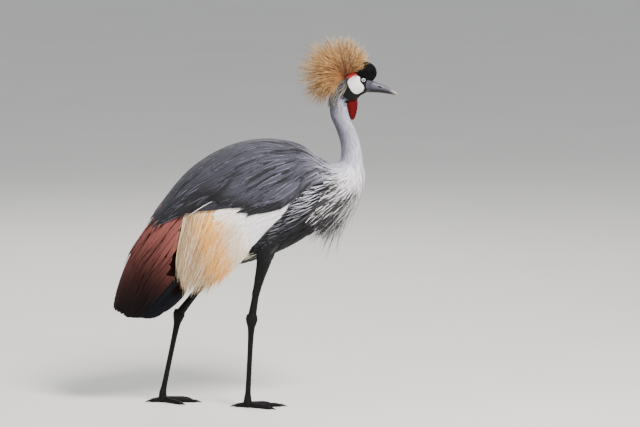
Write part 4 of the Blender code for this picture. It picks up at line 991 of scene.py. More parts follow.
def make_front_filaments(look):
    """A few long dark and pale filaments between crest and cap."""
    count = 14
    shares = np.linspace(0, 1, 8)
    start = np.array([0.2350, 0, 0.8150]) + RNG.normal(0, 1, (count, 3)) * [0.0015, 0.0060, 0.0010]
    angle = np.radians(RNG.uniform(34, 50, count))
    ahead = np.stack([np.cos(angle), RNG.normal(0, 0.16, count), np.sin(angle)], -1)
    reach = RNG.uniform(0.020, 0.034, count)[:, None]
    path = np.stack([start + ahead * reach * s + np.array([0, 0, 0.003]) * math.sin(s * np.pi) for s in shares], 1)
    bake = np.stack([np.linspace(0.05, 0.95, count), np.full(count, 0.5)], -1)
    radii = np.interp(shares, (0, 0.8, 1), (0.00045, 0.0004, 0.0002))
    finish(strands("crest_front", path, radii, look, filament_tint, bake), "crest_straw")


# Neck and trunk


def neck_tint(at, turn, share, column, seed):
    down = np.abs(turn)
    # Painted shade and light: the back of the neck is painted darker and its front lighter; its paling towards the
    # breast is its own colour.
    light = np.clip(ramp(down, 0.20, 0.95) * 0.9 + ramp(at, 9.0, 12.2) * 0.7, 0, 1)
    colour = blend(NECK_GREY * 0.62, NECK_PALE, light)
    colour = blend(colour, WHITE, ramp(at, 11.5, 13.5) * ramp(down, 0.25, 0.6) * 0.8)
    colour = blend(colour * 0.82, colour, ramp(share, 0.1, 0.6))
    colour = blend(colour, colour * 0.66, (seed * 7.3) % 1 < 0.24)
    return vary(colour, seed, 0.07)


def make_neck(look):
    at, turn = rows_on(flesh, 6.5, 12.2, 0.0036, 0.0019, 0.0, 1.0, middle=0.5, jitter=0.4)
    count = len(at)
    length = np.interp(at, (6.5, 8, 12), (0.012, 0.020, 0.040)) * RNG.uniform(0.75, 1.25, count)
    width = np.interp(at, (6.5, 12), (0.0009, 0.0013)) * RNG.uniform(0.8, 1.3, count)
    shares = (0.0, 0.3, 0.65, 1.0)
    made = blades(
        "coat_neck", flesh, at, turn, RNG.normal(0, 0.06, count), length, width,
        (-0.0026, -0.0010, 0.0002, 0.0006), look, neck_tint, shares, (0.7, 1.0, 0.75, 0), 0.0003,
    )
    return finish(made, "pale_grey_plumage")


def hackle_tint(at, turn, share, column, seed):
    down = np.abs(turn)
    light = blend(NECK_PALE, WHITE, ramp(down, 0.2, 0.5))
    light = blend(light, paint(172, 172, 190), ramp(at, 13.4, 15.0) * (1 - ramp(down, 0.2, 0.50)))
    light = blend(light, light * 0.84, (seed * 3.9) % 1 < 0.4)
    colour = blend(light * 0.55, light, ramp(share, 0.0, 0.30))
    # Painted shade: a share of the strands, growing towards the breast, is painted near black past the root as the
    # shaded gaps between the pale hackles.
    dark = blend(colour, SOOT * 0.5, 0.95 * ramp(share, 0.15, 0.5) * ramp(at, 12.4, 13.8))
    share_dark = np.interp(at, (12.8, 14.0, 15.0, 16.5), (0.0, 0.42, 0.68, 0.80))
    share_dark = share_dark * (1 - 0.55 * ramp(down, 0.72, 0.86) * (1 - ramp(at, 15.0, 15.8)))
    return vary(np.where((seed < share_dark)[..., None], dark, colour), (seed * 5.7) % 1, 0.08)


def make_hackles(look):
    """Long plumes of lower neck and breast; the lowest hang free."""
    at, turn = rows_on(flesh, 11.0, 15.8, 0.0060, 0.0034, 0.0, 1.0, middle=0.6, jitter=0.45)
    keep = (np.abs(turn) > 0.34) | (at < 13.9)
    at, turn = at[keep], turn[keep]
    count = len(at)
    down = np.abs(turn)
    length = np.interp(at, (11, 13, 14.2, 15.5), (0.045, 0.082, 0.086, 0.070)) * RNG.uniform(0.70, 1.2, count)
    length = length * np.interp(down, (0, 0.25, 0.5, 1), (0.50, 0.65, 0.95, 1.05))
    width = np.interp(at, (11, 15), (0.0010, 0.0016)) * RNG.uniform(0.5, 1.2, count)
    shares = np.array([0.0, 0.14, 0.32, 0.52, 0.72, 0.88, 1.0])
    loose = np.clip((down - 0.50) / 0.5, 0, 1) ** 1.3 * RNG.uniform(0.2, 1.0, count)
    loose = loose * np.interp(at, (11, 12.5, 15.4), (0.15, 0.7, 1.0))
    base = np.array([-0.0036, -0.0016, 0.0002, 0.0012, 0.0018, 0.0022, 0.0024])
    heights = base[None] + 0.020 * loose[:, None] * shares[None] ** 1.8
    tassel = ramp(down, 0.74, 0.88) * ramp(at, 13.4, 14.0) * (1 - ramp(at, 14.7, 15.2))
    tassel = tassel * RNG.uniform(0.0, 1.0, count) ** 1.2
    length = length * (1 + 0.35 * tassel)
    hang = np.zeros((count, len(shares), 3))
    hang[..., 2] = -(0.014 * loose + 0.062 * tassel)[:, None] * shares[None] ** 2.0
    hang[..., 0] = (0.036 * tassel)[:, None] * shares[None] ** 1.6
    lean = np.interp(down, (0, 0.35, 0.6, 1), (0.0, 0.10, 0.16, 0.0)) + RNG.normal(0.0, 0.11, count)
    made = blades(
        "coat_hackles", flesh, at, turn, lean, length, width, heights, look, hackle_tint,
        shares, (0.7, 1.0, 1.0, 0.9, 0.7, 0.45, 0), 0.0004, curl=RNG.normal(0, 0.14, count), hang=hang,
        stray=lambda seed, s: (seed[:, None] - 0.5) * 0.014 * s[None] ** 2,
    )
    return finish(made, "pale_grey_plumage")


def flank_low(at):
    return np.interp(at, (15.0, 16.0, 16.6, 17.4, 18.0, 18.6), (0.52, 0.66, 0.75, 0.79, 0.81, 0.84))


def flank_tint(at, turn, share, column, seed):
    """Black lance with a pale upper half."""
    upper = column * np.sign(turn)
    rim = ramp(upper, 0.15, 0.55) * ramp(share, 0.05, 0.25) * (1 - 0.6 * ramp(share, 0.86, 1.0))
    pale = blend(paint(200, 200, 214), paint(104, 104, 114), ramp(at, 16.0, 18.4))
    pale = blend(pale, paint(46, 46, 54), ramp(np.abs(turn), flank_low(at) - 0.16, flank_low(at) - 0.06))
    colour = blend(paint(9, 9, 11), pale, rim * np.where(seed < 0.20, 0.25, 1.0))
    return vary(colour, seed, 0.12)


def make_flanks(look):
    """Striped lances of the flank under the wing's front edge."""
    low = lambda at: float(np.interp(at, (15.0, 16.6, 17.7, 19.5), (0.42, 0.48, 0.56, 0.68)))
    high = lambda at: float(flank_low(at))
    at, turn = rows_on(flesh, 15.0, 19.0, 0.012, 0.0066, low, high, jitter=0.3)
    count = len(at)
    shares = np.array([0.0, 0.14, 0.30, 0.48, 0.66, 0.84, 1.0])
    heights = np.array([-0.0036, -0.0002, 0.0024, 0.0040, 0.0050, 0.0056, 0.0058])
    heights = heights * (1 - 0.45 * ramp(at, 16.5, 18.5))[:, None]
    lean = np.interp(at, (15, 16.5, 19), (0.06, -0.06, -0.04)) + RNG.normal(0, 0.07, count)
    made = blades(
        "coat_flanks", flesh, at, turn, lean, 0.056 * RNG.uniform(0.75, 1.2, count),
        0.0036 * RNG.uniform(0.8, 1.2, count), heights, look, flank_tint, shares,
        (0.55, 0.95, 1.0, 0.9, 0.7, 0.42, 0), 0.0004, columns=7, camber=0.25, curl=RNG.normal(0, 0.22, count),
    )
    return finish(made, "body_plumage")


def body_tint(at, turn, share, column, seed):
    down = np.abs(turn)
    colour = blend(paint(128, 128, 142), SLATE, ramp(at, 15, 17))
    colour = blend(colour, SOOT * 0.55, ramp(down, 0.50, 0.66))
    pale = ramp(at, 18.5, 19.0) * (1 - ramp(at, 20.8, 21.8)) * ramp(down, 0.60, 0.66) * (1 - ramp(down, 0.84, 0.90))
    colour = blend(colour, OLIVE_WHITE, pale)
    colour = blend(colour, BLACK * 1.4, ramp(at, 21.4, 22.6))
    colour = blend(colour * 0.6, colour, ramp(share, 0.1, 0.7))
    return vary(colour, seed, 0.14)


def make_body(look):
    at, turn = rows_on(flesh, 14.6, 23.6, 0.0095, 0.0078, 0.0, 1.0, middle=0.5)
    keep = np.abs(turn) > np.interp(at, (14.6, 15.5, 19, 23.6), (0.0, 0.30, 0.44, 0.30))
    at, turn = at[keep], turn[keep]
    count = len(at)
    shares = np.array([0.0, 0.25, 0.55, 0.82, 1.0])
    heights = np.array([-0.0034, -0.0016, 0.0002, 0.0012, 0.0016])
    made = blades(
        "coat_body", flesh, at, turn, RNG.normal(0, 0.12, count), 0.030 * RNG.uniform(0.75, 1.25, count),
        0.0040 * RNG.uniform(0.8, 1.2, count), heights, look, body_tint, shares, (0.7, 1.0, 0.95, 0.6, 0),
        0.0003,
    )
    return finish(made, "body_plumage")


def thigh_tint(at, turn, share, column, seed):
    colour = blend(paint(22, 22, 26), BLACK, ramp(at, 0.3, 1.2))
    pale = np.where(seed < 0.14, 0.7, 0.0) * (1 - ramp(at, 0.45, 0.95)) * ramp(share, 0.2, 0.5)
    colour = blend(colour, paint(118, 118, 130), pale * ramp(np.abs(column), -0.1, 0.9))
    return vary(blend(colour * 0.7, colour, ramp(share, 0.1, 0.6)), seed, 0.2)


def make_thigh(side, look):
    surface = thigh_surface(side)
    row_gap = lambda at: float(np.interp(at, (0.2, 1.0, 3.0), (0.0085, 0.0050, 0.0042)))
    at, turn = rows_on(surface, 0.05, 3.0, row_gap, 0.0032, 0.0, 1.0, middle=0.5, jitter=0.4)
    count = len(at)
    shares = np.array([0.0, 0.3, 0.65, 1.0])
    length = np.interp(at, (0, 1, 2, 3), (0.052, 0.036, 0.020, 0.013)) * RNG.uniform(0.75, 1.2, count)
    width = np.interp(at, (0, 1, 3), (0.0022, 0.0016, 0.0009)) * RNG.uniform(0.7, 1.25, count)
    lift = (np.interp(at, (0, 0.5, 1, 2, 3), (0.4, 0.9, 1.4, 0.6, 0.1)) * RNG.uniform(0.3, 1.3, count))[:, None]
    lean = np.interp(at, (0.2, 0.8, 1.4), (0.95, 0.65, 0.10)) + RNG.normal(0, 0.15, count)
    heights = np.array([-0.0016, 0.0, 0.0, 0.0])[None] + np.array([0, 0.0002, 0.0010, 0.0016])[None] * lift
    made = blades(
        f"coat_thigh_{SIDE_NAMES[side]}", surface, at, turn, lean, length,
        width, heights, look, thigh_tint, shares, (0.7, 1.0, 0.7, 0), 0.0003,
    )
    return finish(made, "body_plumage")


# Wings


def mantle_edge(at):
    places, turns = zip(*MANTLE_LOW)
    return np.interp(at, places, turns)


def bed_tint(at, turn):
    down = np.abs(turn)
    colour = blend(paint(170, 170, 186), SLATE_DARK, ramp(at, -1.6, 0.2))
    open_ = ramp(down, mantle_edge(at) - 0.03, mantle_edge(at) + 0.01)
    white = blend(paint(200, 196, 196), paint(186, 146, 96), ramp(at, 3.5, 4.2))
    colour = blend(colour, white, open_ * (1 - ramp(at, 5.0, 5.5)))
    colour = blend(colour, CHESTNUT_DARK * 0.2, ramp(down, 0.84, 0.90) * ramp(at, 3.9, 4.4))
    return blend(colour, CHESTNUT_DARK * 0.3, open_ * ramp(at, 5.1, 5.5) + ramp(at, 7.9, 8.3) * (1 - open_))


def make_bed(look):
    """Closed bed under the vanes of mantle and folded wings."""
    rings, strips = 100, 110
    at = np.linspace(-1.1, 8.8, rings)[:, None] * np.ones((1, strips))
    turn = np.ones((rings, 1)) * np.linspace(-0.955, 0.955, strips)[None]
    turn = turn * np.interp(at, (-1.1, -0.4, 0.3, 4.6, 5.6), (0.72, 0.86, 1.0, 1.0, 0.94))
    place, _, _, normal = frame_of(drape, at, turn)
    top = np.where(np.abs(turn) < mantle_edge(at), 0.0040, 0.0056) + 0.004 * (1 - ramp(at, -1.1, 0.0))
    under = np.interp(at, (-1.1, 0.9, 1.6, 8.8), (0.018, 0.020, 0.012, 0.012))
    outer, inner = place - normal * top[..., None], place - normal * under[..., None]
    size = rings * strips
    i, j = np.meshgrid(np.arange(rings - 1), np.arange(strips - 1), indexing="ij")
    a = (i * strips + j).ravel()
    quads = np.stack([a, a + strips, a + strips + 1, a + 1], -1)
    rim = [i * strips for i in range(rings)] + [(rings - 1) * strips + j for j in range(1, strips)]
    rim += [i * strips + strips - 1 for i in range(rings - 2, -1, -1)] + list(range(strips - 2, 0, -1))
    rim = np.array(rim)
    after = np.roll(rim, -1)
    edge = np.stack([rim, rim + size, after + size, after], -1)
    # Painted shade: the inner face takes the same tints darkened to 0.6.
    tints = np.concatenate([bed_tint(at, turn), bed_tint(at, turn) * 0.6])
    uv = unwrapped(drape, at, turn)
    bake = np.concatenate([uv, uv])
    made = mesh_of(
        "wing_bed", np.concatenate([outer, inner]), [quads, quads[:, ::-1] + size, edge], tints, bake, None, look, 50,
    )
    return turned_out(made)


# Shaded fold between the rear lobe of the mantle and the front one, as (row, turn) of the cloak.
FOLD = [(3.2, 0.39), (3.75, 0.385), (3.95, 0.44), (4.4, 0.46), (5.0, 0.465), (5.9, 0.46), (6.6, 0.43)]


def fold_shadow(colour, at, turn):
    """Painted shadow: darkens the strip just below the fold, where the rear lobe shades the front one."""
    places, turns = zip(*FOLD)
    below = np.abs(turn) - np.interp(at, places, turns)
    shade = ramp(below, -0.006, 0.004) * (1 - ramp(below, 0.010, 0.055)) * ramp(at, places[0] - 0.2, places[0] + 0.5)
    return blend(colour, colour * 0.12, shade * (1 - ramp(at, 5.8, 6.4)))


def fold_lift(at, turn):
    """Height by which the feathers along the fold lie above those below it."""
    places, turns = zip(*FOLD)
    above = np.interp(at, places, turns) - np.abs(turn)
    return 0.0034 * (above > 0) * (1 - ramp(above, 0.03, 0.13)) * ramp(at, 2.9, 3.6) * (1 - ramp(at, 5.6, 6.4))


def mantle_tint(at, turn, share, column, seed):
    down = np.abs(turn)
    base = blend(SLATE, SLATE * 0.50, ramp(at, 1.0, 6.0))
    base = base * (1 - 0.30 * ramp(at, -1.0, 0.5) * (1 - ramp(at, 1.5, 3.5)))[..., None]
    base = blend(base, NECK_PALE * 0.86, (1 - ramp(at + 0.9 * (seed - 0.5), -2.2, 0.6)) * 0.95)
    # Painted shade: the lower part of each mantle lobe is darkened, darkest at its free edge.
    depth = np.interp(at, (3.5, 5.0), (0.14, 0.22))
    lobe = ramp(down, mantle_edge(at) - depth, mantle_edge(at) - 0.02) * ramp(at, 0.8, 1.8)
    base = blend(base, base * 0.11, lobe)
    colour = blend(base * 0.70, base, ramp(share, 0.05, 0.5))
    edge = ramp(np.abs(column), 0.5, 1.0)
    light = blend(base, SLATE_LIGHT, np.where(seed > 0.55, 0.60, 0.15))
    colour = blend(colour, light, edge * ramp(share, 0.15, 0.6) * 0.8)
    shaft = 1 - ramp(np.abs(column), 0.0, 0.4)
    colour = blend(colour, base * 0.62, shaft * 0.5)
    # Painted shade: a share of the feathers, largest at the front, is darkened to near black as the shaded slits
    # between them.
    shaded_slits = (seed * 11.7) % 1 < np.interp(at, (-2.5, -1, 2, 5), (0.0, 0.34, 0.28, 0.20))
    colour = blend(colour, SOOT * 0.6, shaded_slits * ramp(share, 0.1, 0.4) * 0.85)
    return fold_shadow(vary(colour, (seed * 3.3) % 1, 0.14), at, turn)


def edge_lean(at):
    """Angle between the mantle's lower edge and the run of the cloak."""
    slope = (mantle_edge(at + 0.4) - mantle_edge(at - 0.4)) / 0.8
    _, along, around, _ = frame_of(drape, at, mantle_edge(at))
    return np.arctan(slope * np.linalg.norm(around, axis=-1) / np.linalg.norm(along, axis=-1))


def held_in(at, turn, length, lean):
    """Lean of the mantle's feathers turned up so far that their tips end inside the mantle's edge."""
    _, along, around, _ = frame_of(drape, at, turn)
    per_row, per_turn = np.linalg.norm(along, axis=-1), np.linalg.norm(around, axis=-1)
    edge = mantle_edge(at + np.cos(lean) * length / per_row)
    past = np.abs(turn) + np.sin(lean) * length / per_turn - edge
    return lean - np.clip(past - 0.01, 0, 0.5) * per_turn / length


def make_mantle(look):
    """Long lax feathers of back and shoulders, in a front lobe and a rear one."""
    low = 0.0
    high = lambda at: float(min(mantle_edge(at) - 0.01, mantle_edge(at + 1.0) + 0.10, mantle_edge(at + 1.8) + 0.22))
    side_gap = lambda at: float(np.interp(at, (-2.6, -1, 1), (0.0048, 0.0060, 0.0082)))
    at, turn = rows_on(drape, -2.7, 6.9, 0.0115, side_gap, low, high, jitter=0.35)
    count = len(at)
    down = np.abs(turn)
    shares = np.array([0.0, 0.10, 0.24, 0.40, 0.58, 0.76, 0.90, 1.0])
    length = np.interp(at, (-2.6, -1, 1, 4, 6.9), (0.050, 0.090, 0.125, 0.115, 0.068)) * RNG.uniform(0.8, 1.15, count)
    edge = ramp(down, mantle_edge(at) - 0.40, mantle_edge(at)) * ramp(at, -0.5, 1.0) * (1 - ramp(at, 4.2, 4.9))
    length = length * (1 - 0.25 * edge)
    width = np.interp(at, (-2.6, -1, 1, 4, 7), (0.0024, 0.0034, 0.0054, 0.0064, 0.0066)) * RNG.uniform(0.8, 1.2, count)
    start = np.interp(at, (-2.6, 0.4), (-0.0026, -0.0036))
    climb = np.array([0.0, 0.30, 0.55, 0.74, 0.87, 0.95, 0.99, 1.0])
    front = 0.0012 * (1 - ramp(at, 3.6, 4.6)) * ramp(at, 0.0, 1.5)
    heights = start[:, None] * (1 - climb) + (0.0020 + front + fold_lift(at, turn))[:, None] * climb
    lean = np.interp(down, (0, 0.5, 0.9), (0.02, 0.05, 0.02)) + RNG.normal(0, 0.05, count)
    border = ramp(down, mantle_edge(at) - 0.36, mantle_edge(at) - 0.04)
    lean = held_in(at, turn, length, lean + border * edge_lean(at + 0.9))
    made = blades(
        "coat_mantle", drape, at, turn, lean, length, width, heights, look, mantle_tint, shares,
        (0.50, 0.85, 1.0, 1.0, 0.90, 0.64, 0.34, 0), 0.0004, columns=5, camber=0.18,
        curl=RNG.normal(0.0, 0.12, count), crease=50,
    )
    return finish(made, "slate_plumage")


def lax_tint(at, turn, share, column, seed):
    """Slate with a pale hairline along both edges."""
    base = blend(SLATE, SLATE * 0.55, ramp(at, 1.0, 6.0))
    base = blend(base, SLATE_LIGHT * 0.8, 0.5 * (1 - ramp(at, 0.0, 2.0)))
    colour = blend(base * 0.75, base, ramp(share, 0.05, 0.4))
    colour = blend(colour, base * 0.55, (1 - ramp(np.abs(column), 0.2, 0.9)) * 0.5)
    rim = ramp(np.abs(column), 0.70, 1.0) * ramp(share, 0.1, 0.35)
    colour = blend(colour, SLATE_LIGHT * 1.3, rim * np.where(seed > 0.35, 0.85, 0.2))
    return fold_shadow(vary(colour, (seed * 3.3) % 1, 0.12), at, turn)


def make_lax(look):
    """Sparse long loose feathers over the mantle."""
    high = lambda at: float(mantle_edge(at + 1.6) - 0.02)
    at, turn = rows_on(drape, -0.2, 4.9, 0.024, 0.024, 0.06, high, jitter=0.5)
    count = len(at)
    shares = np.array([0.0, 0.08, 0.20, 0.35, 0.50, 0.65, 0.80, 0.92, 1.0])
    climb = np.array([0.0, 0.25, 0.50, 0.72, 0.86, 0.95, 1.0, 1.0, 1.0])
    length = 0.120 * RNG.uniform(0.75, 1.15, count)
    lean = held_in(at, turn, length, RNG.normal(0.03, 0.07, count))
    made = blades(
        "mantle_lax", drape, at, turn, lean, length, 0.0068 * RNG.uniform(0.7, 1.2, count),
        -0.0036 + (0.0066 + fold_lift(at, turn))[:, None] * climb, look, lax_tint, shares, (0.40, 0.75, 0.95, 1.0, 0.96, 0.84, 0.60, 0.32, 0), 0.0004,
        columns=9, camber=0.10, curl=RNG.normal(0.0, 0.10, count), crease=50,
    )
    return finish(made, "slate_plumage")


def panel_tint(at, turn, share, column, seed):
    return blend(paint(40, 40, 48), paint(26, 26, 32), ramp(np.abs(column), 0.4, 1.0))


def shaft_tint(at, turn, share, column, seed):
    return blend(paint(120, 120, 132), paint(222, 222, 228), ramp(share, 0.0, 0.4))


def make_panel(look):
    """Dark inner quills that show between the two lobes of the mantle."""
    turn = np.repeat([[0.50], [0.55], [0.60]], 2, axis=1) * [RIGHT, LEFT]
    at = np.repeat([[4.1], [3.9], [3.75]], 2, axis=1)
    shares = np.array([0.0, 0.15, 0.35, 0.55, 0.75, 0.90, 1.0])
    heights = np.array([-0.0036, 0.0, 0.0012, 0.0016, 0.0016, 0.0014, 0.0010])
    made = blades(
        "inner_quills", cloak, at.ravel(), turn.ravel(), -0.40, np.repeat([0.112, 0.112, 0.104], 2), 0.0085, heights, look, panel_tint, shares,
        (0.8, 1.0, 1.0, 1.0, 0.86, 0.56, 0), 0.0005, columns=9, camber=0.06,
    )
    finish(made, "slate_plumage")
    shafts = blades(
        "pale_shafts", cloak, np.full(2, 4.6), np.array([-0.50, 0.50]), -0.06,
        0.078, 0.0010, heights + 0.0026, look, shaft_tint, shares,
        (0.6, 1.0, 1.0, 0.9, 0.8, 0.5, 0), 0.0005,
    )
    finish(shafts, "slate_plumage")


def covert_tint(at, turn, share, column, seed):
    base = blend(WHITE, paint(246, 238, 226), ramp(at, 3.2, 4.2))
    colour = blend(base * 0.88, base, ramp(share, 0.05, 0.4))
    colour = blend(colour, base * 0.93, ramp(np.abs(column), 0.8, 1.0) * 0.5)
    return vary(colour, seed, 0.03)


def make_coverts(look):
    low = lambda at: float(mantle_edge(at) - 0.10)
    at, turn = rows_on(cloak, 0.9, 4.0, 0.0105, 0.0095, low, 0.985, jitter=0.25)
    count = len(at)
    shares = np.array([0.0, 0.15, 0.35, 0.58, 0.78, 0.92, 1.0])
    heights = np.array([-0.0058, -0.0042, -0.0028, -0.0014, -0.0004, 0.0, 0.0])
    lean = np.interp(at, (1, 4), (-0.14, 0.06)) + RNG.normal(0, 0.06, count)
    made = blades(
        "coat_coverts", cloak, at, turn, lean, 0.058 * RNG.uniform(0.8, 1.15, count),
        0.0066 * RNG.uniform(0.85, 1.2, count), heights, look, covert_tint, shares,
        (0.6, 0.95, 1.0, 0.9, 0.66, 0.36, 0), 0.0004, columns=5, camber=0.14,
    )
    return finish(made, "white_coverts", "wing_left_coverts", "wing_right_coverts")


def plume_tint(at, turn, share, column, seed):
    gold = blend(CREAM, paint(252, 180, 74), ramp(at + 0.5 * (seed - 0.5), 3.9, 4.8))
    gold = blend(gold, STRAW * 0.74, ramp(at + 0.7 * (seed - 0.5), 5.4, 6.4))
    colour = blend(blend(CREAM, gold, 0.4), gold, ramp(share, 0.02, 0.35))
    colour = blend(colour, STRAW, ramp(share, 0.8, 1.0) * 0.5)
    colour = blend(colour, paint(150, 106, 66), np.where(seed < np.interp(at, (4.8, 6.0), (0.06, 0.46)), 0.8, 0.0))
    colour = blend(colour, CREAM, (seed > 0.84) * 0.75)
    return vary(colour, (seed * 9.1) % 1, 0.08)


def plume_low(at):
    """Upper border of the plumes, where the inner quills end."""
    return float(np.interp(at, (3.5, 4.0, 4.3, 4.85, 5.5, 6.1, 6.8), (0.68, 0.56, 0.53, 0.49, 0.44, 0.40, 0.38)))


def make_plumes(side, look):
    """Silky hair-like plumes that fall over the hind part of the wing."""
    high = lambda at: float(np.interp(at, (3.4, 4.4, 5.2, 6.1, 6.6), (0.97, 0.96, 0.90, 0.70, 0.56)))
    at, turn = rows_on(cloak, 3.45, 6.20, 0.0040, 0.0025, plume_low, high, jitter=0.5, mirrored=False)
    turn = turn * side
    count = len(at)
    shares = np.array([0.0, 0.10, 0.24, 0.40, 0.56, 0.72, 0.87, 1.0])
    length = np.interp(at, (3.5, 4.5, 5.2, 6.2), (0.074, 0.138, 0.172, 0.160)) * RNG.uniform(0.72, 1.08, count)
    length = length * np.interp(np.abs(turn), (0.45, 0.7, 0.85, 1.0), (1.06, 0.84, 0.62, 0.44))
    rise = RNG.uniform(0.0, 1.0, count)[:, None]
    heights = -0.0060 + (0.0062 + 0.0026 * rise) * shares[None] ** 0.55
    lean = np.interp(at, (3.5, 4.2, 5.0, 6.0, 6.5), (0.34, 0.62, 0.76, 0.74, 0.70)) + RNG.normal(0, 0.055, count)
    made = blades(
        f"plumes_{SIDE_NAMES[side]}", cloak, at, turn, lean, length, 0.00066 * RNG.uniform(0.5, 1.4, count), heights,
        look, plume_tint, shares, (0.8, 1.0, 1.0, 0.95, 0.85, 0.65, 0.4, 0), 0.0004,
        curl=RNG.normal(-0.12, 0.10, count),
        stray=lambda seed, s: np.sin(seed[:, None] * 40 + s[None] * 5) * 0.0016 * s[None],
    )
    return finish(made, "golden_plumes", f"wing_{SIDE_NAMES[side]}_plumes")


def secondary_tint(at, turn, share, column, seed):
    down = at + 3.5 * (np.abs(turn) - 0.4)
    base = blend(CHESTNUT, CHESTNUT_DARK, ramp(down, 6.6, 10.8))
    base = blend(base, MAROON * 0.4, ramp(down, 9.8, 12.0))
    base = blend(base, BLUE_BLACK * 0.5, ramp(at, 7.0, 7.8) * ramp(np.abs(turn), 0.74, 0.81))
    edge = ramp(np.abs(column), 0.70, 1.0)
    colour = blend(base, base * 0.66, edge)
    shaft = 1 - ramp(np.abs(column), 0.0, 0.12)
    colour = blend(colour, base * 0.6, shaft * 0.7)
    return vary(colour, seed, 0.16)


LONG_SHARES = np.array([0.0, 0.06, 0.14, 0.24, 0.35, 0.46, 0.57, 0.68, 0.78, 0.87, 0.94, 0.98, 1.0])
LONG_SHAPE = (0.55, 0.72, 0.88, 0.97, 1.0, 1.0, 0.96, 0.86, 0.72, 0.54, 0.34, 0.16, 0)
BROAD_SHAPE = (0.55, 0.72, 0.88, 0.97, 1.0, 1.0, 1.0, 0.98, 0.95, 0.86, 0.66, 0.42, 0)


def even(low, high, count):
    return low + (high - low) * (np.arange(count) + 0.5) / count


def run(surface, first, last, turn):
    """Length of the surface's line at each turn from one row to another."""
    rows = first + (last - first) * np.linspace(0, 1, 30)[:, None]
    places = surface(rows, np.broadcast_to(turn, rows.shape[:1] + np.shape(turn)))
    return np.linalg.norm(np.diff(places, axis=0), axis=-1).sum(0)


# Ranks of long chestnut vanes: row of their roots, turns from and to, number, length, half width, root depth.
SECONDARY_RANKS = [
    (5.6, 0.04, 0.62, 18, 0.170, 0.0056, 0.0105), (6.9, 0.03, 0.84, 24, 0.185, 0.0060, 0.0108),
    (8.1, 0.02, 0.95, 24, 0.205, 0.0078, 0.0112),
]


def make_secondaries(side, look):
    """Ranks of broad chestnut vanes, the lowest as the wing's own rear edge."""
    made = []
    for rank, (row, first, last, number, length, width, depth) in enumerate(SECONDARY_RANKS):
        turn = even(first, last, number) + RNG.normal(0, 0.006, number)
        count = len(turn)
        step = 0.0013 * (np.arange(count) % 2) + RNG.uniform(0, 0.0006, count)
        level = 0.0008 - 0.0016 * rank
        heights = -depth + (depth + level) * LONG_SHARES[None] ** 0.7
        heights = heights + step[:, None] * np.minimum(1, 2.5 * LONG_SHARES)[None]
        root = row + RNG.uniform(-0.4, 0.4, count)
        reach = np.minimum(length * RNG.uniform(0.72, 1.08, count), run(cloak, root, 12.4, turn))
        if rank == 2:
            reach = run(cloak, root, 12.85 - 1.0 * ramp(turn, 0.80, 0.93), turn) * RNG.uniform(0.975, 1.0, count)
        made.append(blades(
            f"secondaries_{SIDE_NAMES[side]}_{rank}", cloak, root, side * turn,
            0.03 - 0.07 * ramp(turn, 0.6, 0.9) + RNG.normal(0, 0.015, count), reach, width * RNG.uniform(0.9, 1.1, count), heights,
            look, secondary_tint, LONG_SHARES, LONG_SHAPE if rank < 2 else BROAD_SHAPE, 0.0006, columns=11,
            camber=0.05, atlas=True,
        ))
    finish(made[0], "chestnut_plumage", f"wing_{SIDE_NAMES[side]}_secondaries")
    finish(made[1], "chestnut_plumage")
    finish(made[2], "chestnut_plumage")


def primary_tint(at, turn, share, column, seed):
    colour = blend(BLUE_BLACK * 0.4, BLUE_BLACK * 0.9, ramp(np.abs(column), 0.2, 1.0))
    return vary(colour, seed, 0.15)


def make_primaries(side, look):
    turn = even(0.48, 1.00, 7)
    count = len(turn)
    heights = np.full((count, len(LONG_SHARES)), -0.0150) - 0.0012 * (np.arange(count) % 2)[:, None]
    reach = run(cloak, 7.4, 12.0, turn) * RNG.uniform(0.94, 1.0, count) * (1 - 0.34 * ramp(turn, 0.70, 0.95))
    made = blades(
        f"primaries_{SIDE_NAMES[side]}", cloak, np.full(count, 7.4), side * turn, -0.05 * ramp(turn, 0.6, 0.95), reach,
        np.full(count, 0.0100), heights, look, primary_tint, LONG_SHARES, BROAD_SHAPE, 0.0006, columns=9,
        camber=0.05, atlas=True,
    )
    finish(made, "black_plumage", f"wing_{SIDE_NAMES[side]}_primaries")


TAIL_FROM, TAIL_TO = np.array([-0.198, 0, 0.428]), np.array([-0.322, 0, 0.232])


def make_tail(look):
    ahead = unit(TAIL_TO - TAIL_FROM)
    up = np.cross(np.array([0, -1.0, 0]), ahead)
    length = float(np.linalg.norm(TAIL_TO - TAIL_FROM))

    def fan(at, turn):
        at, turn = np.asarray(at, float), np.asarray(turn, float)
        sideways = (0.012 + 0.022 * at) * turn
        place = TAIL_FROM + at[..., None] * ahead * length - (0.006 * turn**2 * at)[..., None] * up
        return place + sideways[..., None] * np.array([0, 1.0, 0])

    turn = even(-1, 1, 12)
    count = len(turn)
    heights = np.full((count, len(LONG_SHARES)), 0.0012) + 0.0010 * (np.arange(count) % 2)[:, None]
    made = blades(
        "tail_vanes", fan, np.full(count, 0.02), turn, 0.0, length * (0.96 - 0.10 * np.abs(turn)),
        np.full(count, 0.0085), heights, look, primary_tint, LONG_SHARES, LONG_SHAPE, 0.0006, columns=9,
        camber=0.06, atlas=True,
    )
    finish(made, "black_plumage", "tail")


# Legs

